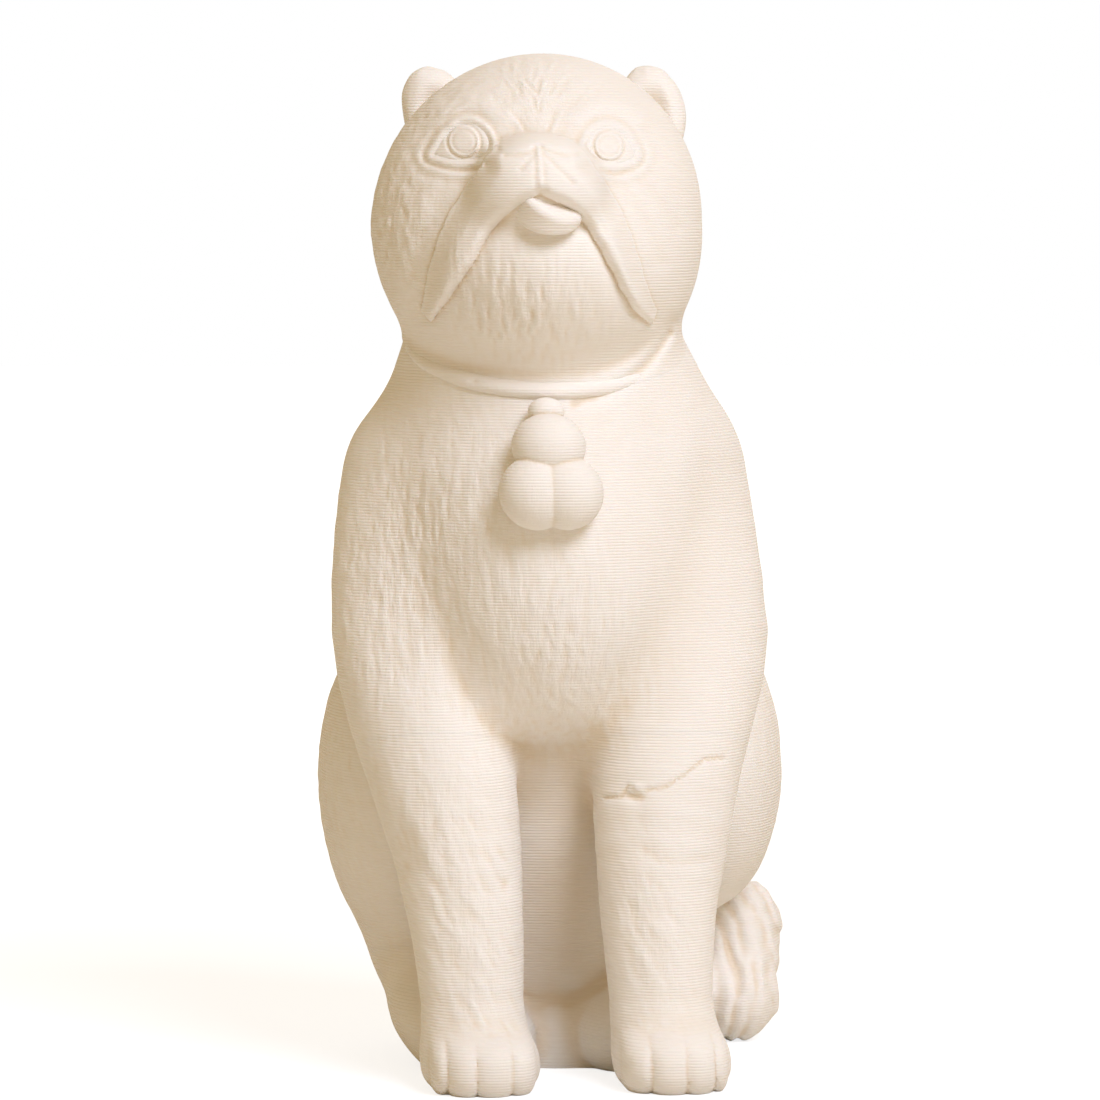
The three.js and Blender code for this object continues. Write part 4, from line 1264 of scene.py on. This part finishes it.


# Leans a cut mesh, puts it in the frame, shades its skin as one surface with its neighbours, and
# paints shade in its hollows and belly
def add_piece(node_name, item):
    source = item.data
    source.calc_loop_triangles()
    triangles = rows_of(source.loop_triangles, "vertices", 3, np.int32)
    corners = rows_of(source.loop_triangles, "loops", 3, np.int32)
    upright = rows_of(source.vertices, "co", 3)
    normals = rows_of(source.attributes["skin"].data, "vector", 3)[corners]
    hollow_shade = rows_of(source.attributes["hollow_shade"].data, "value", 1)[corners][:, :, 0]
    discard(item)
    vertices = placed(upright)
    cap = np.linalg.norm(normals, axis=2).min(1) < LEAST_SKIN
    normals[:, :, 2] -= LEAN * normals[:, :, 0]
    normals[cap] = facings(vertices, triangles)[cap][:, None, :]
    mesh = filled_mesh("clay_" + node_name, vertices, triangles)
    mesh.polygons.foreach_set("use_smooth", np.ones(len(triangles), bool))
    mesh.normals_split_custom_set(unit_rows(normals).reshape(-1, 3).tolist())
    # Painted shade, deepest in hollows and in the belly recess between the legs
    painted_belly_shade = BELLY_SHADE_TAN * patch(upright, *BELLY_SHADE)[triangles]
    set_corners(mesh, "hollow_shade", np.clip(LEVEL_SHADE - painted_belly_shade - hollow_shade / HOLLOW_DEPTH, 0, 1))
    set_corners(mesh, "fur", fur_share(upright)[triangles])
    mesh.materials.append(clay)
    piece = linked(mesh)
    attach(piece, "root")
    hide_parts(node_name)


# Body, parted as the pieces of the frame are
BODY_BOX = ((-80, -98, -6), (80, 94, 222))
TAIL_BOX = ((-12, 4, -6), (82, 102, 56))
HEAD_BOX = ((-58, -102, 172), (58, 28, 288))

body = above_ground(surface(body_mass, body_detail, BODY_BOX, BODY_STEP))
for name, side in SIDES.items():
    leg, body = parted(body, fore_leg_space(side))
    add_piece(f"{name}_foreleg", leg)
for name, side in SIDES.items():
    foot, body = parted(body, foot_space(side))
    add_piece(f"{name}_hind_foot", foot)
    haunch, body = parted(body, haunch_space(side))
    add_piece(f"{name}_haunch", haunch)
add_piece("torso", kept(body, below_seam(), "INTERSECT"))

add_piece("tail", above_ground(surface(tail_mass, tail_detail, TAIL_BOX, TAIL_STEP)))

head = surface(head_mass, head_detail, HEAD_BOX, HEAD_STEP)
add_piece("head", kept(head, below_seam(), "DIFFERENCE"))


# The box round a middle that reaches as far below and above it as a size says
def around(middle, size):
    below, above = size
    return middle - below, middle + above


# Eyes: a low dome with a raised rim about a flat iris
EYE_UNDER_LID = 0.1
EYE_DEPTH = -34
EYE_SIZE = ([11, 24, 11], [11, 16, 11])
IRIS_RADII = {1: 3.8, -1: 4.1}
DOME_HEIGHT = 1.1
DOME_WIDTH = 6.5


def eye_mass(side):
    x, z = EYE_MIDDLES[side]
    iris_radius = IRIS_RADII[side]

    def mass(points):
        local = to_head(points)
        skull = face_mass(local) - base_relief(local)
        gap = eye_gap(local[:, 0], local[:, 2], side)
        reach = np.hypot(local[:, 0] - x, local[:, 2] - z)
        bulge = DOME_HEIGHT * rounded((EYE_UNDER_LID - gap) / DOME_WIDTH) - 0.25
        bulge += 0.3 * smooth_step(iris_radius + 0.3, iris_radius - 0.3, reach)
        bulge -= 0.3 * mound(reach - iris_radius, 0.45, 0.5)
        bulge -= 0.2 * mound(reach - iris_radius, 0.5, -1.0)
        return np.maximum(np.maximum(skull - bulge, gap - EYE_UNDER_LID), -skull - SOCKET_DEPTH)
    return mass


for name, side in SIDES.items():
    x, z = EYE_MIDDLES[side]
    box = around(from_head([x, EYE_DEPTH, z]), EYE_SIZE)
    add_piece(f"{name}_eye", surface(eye_mass(side), None, box, SMALL_STEP))


# Ears: rounded lobes with a folded edge
EAR_SIZE = ([17, 14, 19], [17, 14, 19])
EAR_HOLLOW = ((0, -8.5, 0), (5.5, 5, 9.5))
EAR_EDGE = 2.5


def ear_middle(side):
    (x, y, z), _ = EAR
    return side * x + EAR_SHIFT, y, z


def ear_mass(side):
    angle = math.radians(side * EAR_SPLAY - EAR_LEAN)
    spin = vector([
        [math.cos(angle), 0, math.sin(angle)],
        [0, 1, 0],
        [-math.sin(angle), 0, math.cos(angle)],
    ])

    def mass(points):
        own = (to_head(points) - vector(ear_middle(side))) @ spin
        lobe = ellipsoid(own, ((0, 0, 0), EAR[1]))
        return -blend(-lobe, ellipsoid(own, EAR_HOLLOW), EAR_EDGE)
    return mass


def ear_detail(points):
    return 0.25 * noise(points, (2.5, 2.5, 6.0), 41)


for name, side in SIDES.items():
    box = around(from_head(ear_middle(side)), EAR_SIZE)
    add_piece(f"{name}_ear", surface(ear_mass(side), ear_detail, box, 2 * SMALL_STEP))


# Tongue: a rounded slab whose flat top slopes down towards its tip
TONGUE_SIZE = ([12, 14, 10], [12, 14, 10])


def turned(x, y, angle):
    return x * math.cos(angle) - y * math.sin(angle), x * math.sin(angle) + y * math.cos(angle)


def tongue_mass(points):
    middle, (half_width, half_length, half_thickness) = TONGUE
    own = to_head(points) - vector(middle)
    along, height = turned(own[:, 1], own[:, 2], TONGUE_DROOP)
    across, height = turned(own[:, 0], height, TONGUE_TILT)
    reach = np.hypot(across / half_width, along / half_length)
    aside = (reach - 1) * half_width + TONGUE_EDGE
    above = np.abs(height) - half_thickness * (1 - TONGUE_TAPER * across) + TONGUE_EDGE
    beyond = np.hypot(np.maximum(aside, 0), np.maximum(above, 0))
    return beyond + np.minimum(np.maximum(aside, above), 0) - TONGUE_EDGE


box = around(from_head(TONGUE[0]), TONGUE_SIZE)
add_piece("tongue", surface(tongue_mass, None, box, SMALL_STEP))

# Collar: a roll that follows the neck where the seam crosses it
seam_share = (NECK_TOP[0][2] - NECK_SEAM_HEIGHT) / (NECK_TOP[0][2] - NECK_BASE[0][2])
seam_radius = mix(NECK_TOP[1], NECK_BASE[1], seam_share)
collar_half_width = seam_radius - COLLAR_SUNK
collar_half_depth = collar_half_width + COLLAR_DEEPER
collar_up = vector(seam_up)
collar_back = vector([0, math.cos(NECK_SEAM_TILT), math.sin(NECK_SEAM_TILT)])


def collar_mass(points):
    own = points - vector(seam_place)
    across = own[:, 0] - COLLAR_ASIDE
    along = own @ collar_back + COLLAR_FORWARD
    rise = own @ collar_up
    reach = np.hypot(across / collar_half_width, along / collar_half_depth)
    gap = (reach - 1) * collar_half_width
    return np.hypot(gap, rise * COLLAR_FLATNESS) - COLLAR_RADIUS


COLLAR_BOX = ((-48, -70, 176), (48, 34, 222))
COLLAR_PIT = ((-20.6, -56, 191.0), (1.2, 6, 0.9))


def collar_detail(points):
    return 0.2 * noise(points, (7, 7, 7), 51) - 0.9 * patch(points, *COLLAR_PIT)


add_piece("collar", surface(collar_mass, collar_detail, COLLAR_BOX, 2 * SMALL_STEP))

# Pendant: one cluster of balls, parted midway between their middles
collar_reach = collar_half_depth + COLLAR_FORWARD
bail = np.array([
    BAIL_ASIDE,
    NECK_AXIS_Y - collar_reach * math.cos(NECK_SEAM_TILT) - BAIL_FORWARD,
    NECK_SEAM_HEIGHT - collar_reach * math.sin(NECK_SEAM_TILT) - BAIL_DROP,
])
top_bell = bail - [0, BELL_FORWARD, BELL_DROP]
balls = {
    "pendant_bail": (bail, BAIL_RADIUS * np.array(BAIL_FLATNESS)),
    "pendant_top_bell": (top_bell, BELL_RADIUS * np.array(TOP_BELL_FLATNESS)),
}
for name, side in SIDES.items():
    aside = np.array([side * BELL_SPREAD, -BELL_STEP_FORWARD, -BELL_FALL])
    balls[f"pendant_{name}_bell"] = (top_bell + aside, BELL_RADIUS * np.ones(3))


def pendant_mass(points):
    return blend_all([ellipsoid(points, ball) for ball in balls.values()], BELL_BLEND)


PENDANT_BOX = ((-24, -90, 146), (20, -54, 192))
pendant = surface(pendant_mass, None, PENDANT_BOX, SMALL_STEP * 1.4)
for name, (centre, radii) in balls.items():
    partings = []
    for other, other_radii in balls.values():
        apart = other - centre
        distance = np.linalg.norm(apart)
        if distance:
            near, far = (distance / np.linalg.norm(apart / own) for own in (radii, other_radii))
            share = (1 + (near ** 2 - far ** 2) / distance ** 2) / 2
            partings.append((centre + apart * share, apart / distance))
    cutter = block_cutter(partings)
    add_piece(name, cut(pendant, cutter, "INTERSECT"))
    discard(cutter)
discard(pendant)


# From the middle of the figure towards a place, by its turn from the front and its height
def direction(turn, height):
    return np.array([
        math.sin(turn) * math.cos(height),
        -math.cos(turn) * math.cos(height),
        math.sin(height),
    ])


def facing(towards):
    return Vector(towards).to_track_quat("Z", "Y").to_euler()


# Camera, where the photograph was taken from
CAMERA_TURN = math.radians(-5)
CAMERA_HEIGHT = 252
CAMERA_DISTANCE = 1820
TARGET_HEIGHT = 142
PHOTO_WIDTH = 1100
FOCAL_PIXELS = 6509
SENSOR_WIDTH = 36
back = direction(CAMERA_TURN, math.asin((CAMERA_HEIGHT - TARGET_HEIGHT) / CAMERA_DISTANCE))
target = np.array([0, 0, TARGET_HEIGHT]) - shift
camera = linked(bpy.data.cameras.new("camera"))
camera.data.sensor_width = SENSOR_WIDTH
camera.data.lens = FOCAL_PIXELS / PHOTO_WIDTH * SENSOR_WIDTH
camera.location = (target + back * CAMERA_DISTANCE) * MM
camera.rotation_euler = facing(back)
bpy.context.scene.camera = camera


def lamp(name, kind, energy, colour, towards):
    item = linked(bpy.data.lights.new(name, kind))
    item.data.energy = energy
    item.data.color = colour
    item.rotation_euler = facing(towards)
    return item


# Light: a broad soft key from the upper right, and a weak lamp from behind for the back
KEY_TURN = math.radians(24)
KEY_HEIGHT = math.radians(41)
KEY_DISTANCE = 2.0
KEY_WIDTH = 0.9
KEY_ENERGY = 23.9
KEY_COLOUR = (0.925, 1.015, 1.26)
key_from = Vector(direction(KEY_TURN, KEY_HEIGHT))
key = lamp("key", "AREA", KEY_ENERGY, KEY_COLOUR, key_from)
key.data.shape = "DISK"
key.data.size = KEY_WIDTH
key.location = Vector(target) * MM + key_from * KEY_DISTANCE

FILL_FROM = (0.3, 0.9, 0.4)
FILL_ENERGY = 0.6
FILL_COLOUR = (0.95, 1.0, 1.12)
FILL_SPREAD = 40
fill = lamp("fill", "SUN", FILL_ENERGY, FILL_COLOUR, FILL_FROM)
fill.data.angle = math.radians(FILL_SPREAD)


# One look for the camera, and another for all other light
def for_camera(add, seen, other):
    to_camera = add("LightPath")["Is Camera Ray"]
    return add("MixShader", {"Fac": to_camera, 1: other, 2: seen})["Shader"]


# Surround: white for the camera, and warm light for the shade
WHITE = {"Color": (1, 1, 1, 1), "Strength": 1.0}
WARM = {"Color": (1.0, 0.76, 0.42, 1), "Strength": 0.5}
world = bpy.data.worlds.new("surround")
bpy.context.scene.world = world
add = node_maker(world)
seen, soft_light = (add("Background", look)["Background"] for look in (WHITE, WARM))
add("OutputWorld", {"Surface": for_camera(add, seen, soft_light)})

# Floor: a wide disc, pale for the camera and brighter away from the figure
FLOOR_RADIUS = 6.0
FLOOR_SIDES = 64
MATTE = {"Color": (0.83, 0.8, 0.73, 1)}
PALE = {"Color": (0.4, 0.4, 0.4, 1)}
GLOW = {"From Min": 0.3, "From Max": 0.9, "To Min": 0.77, "To Max": 1.0}


def floor_paint():
    material = bpy.data.materials.new("floor_paint")
    add = node_maker(material)
    matte = add("BsdfDiffuse", MATTE)["BSDF"]
    pale = add("BsdfDiffuse", PALE)["BSDF"]
    spot = add("NewGeometry")["Position"]
    away = add("VectorMath", {0: spot}, operation="LENGTH")["Value"]
    brighter = add("MapRange", {**GLOW, "Value": away})["Result"]
    glow = add("Emission", {"Strength": brighter})["Emission"]
    seen = add("AddShader", {0: pale, 1: glow})["Shader"]
    add("OutputMaterial", {"Surface": for_camera(add, seen, matte)})
    return material


floor_mesh = bpy.data.meshes.new("floor")
angles = [2 * math.pi * k / FLOOR_SIDES for k in range(FLOOR_SIDES)]
rim = [(FLOOR_RADIUS * math.cos(a), FLOOR_RADIUS * math.sin(a), 0.0) for a in angles]
floor_mesh.from_pydata(rim, [], [list(range(FLOOR_SIDES))])
floor_mesh.materials.append(floor_paint())
floor = linked(floor_mesh)
bpy.context.scene.view_settings.view_transform = "Standard"
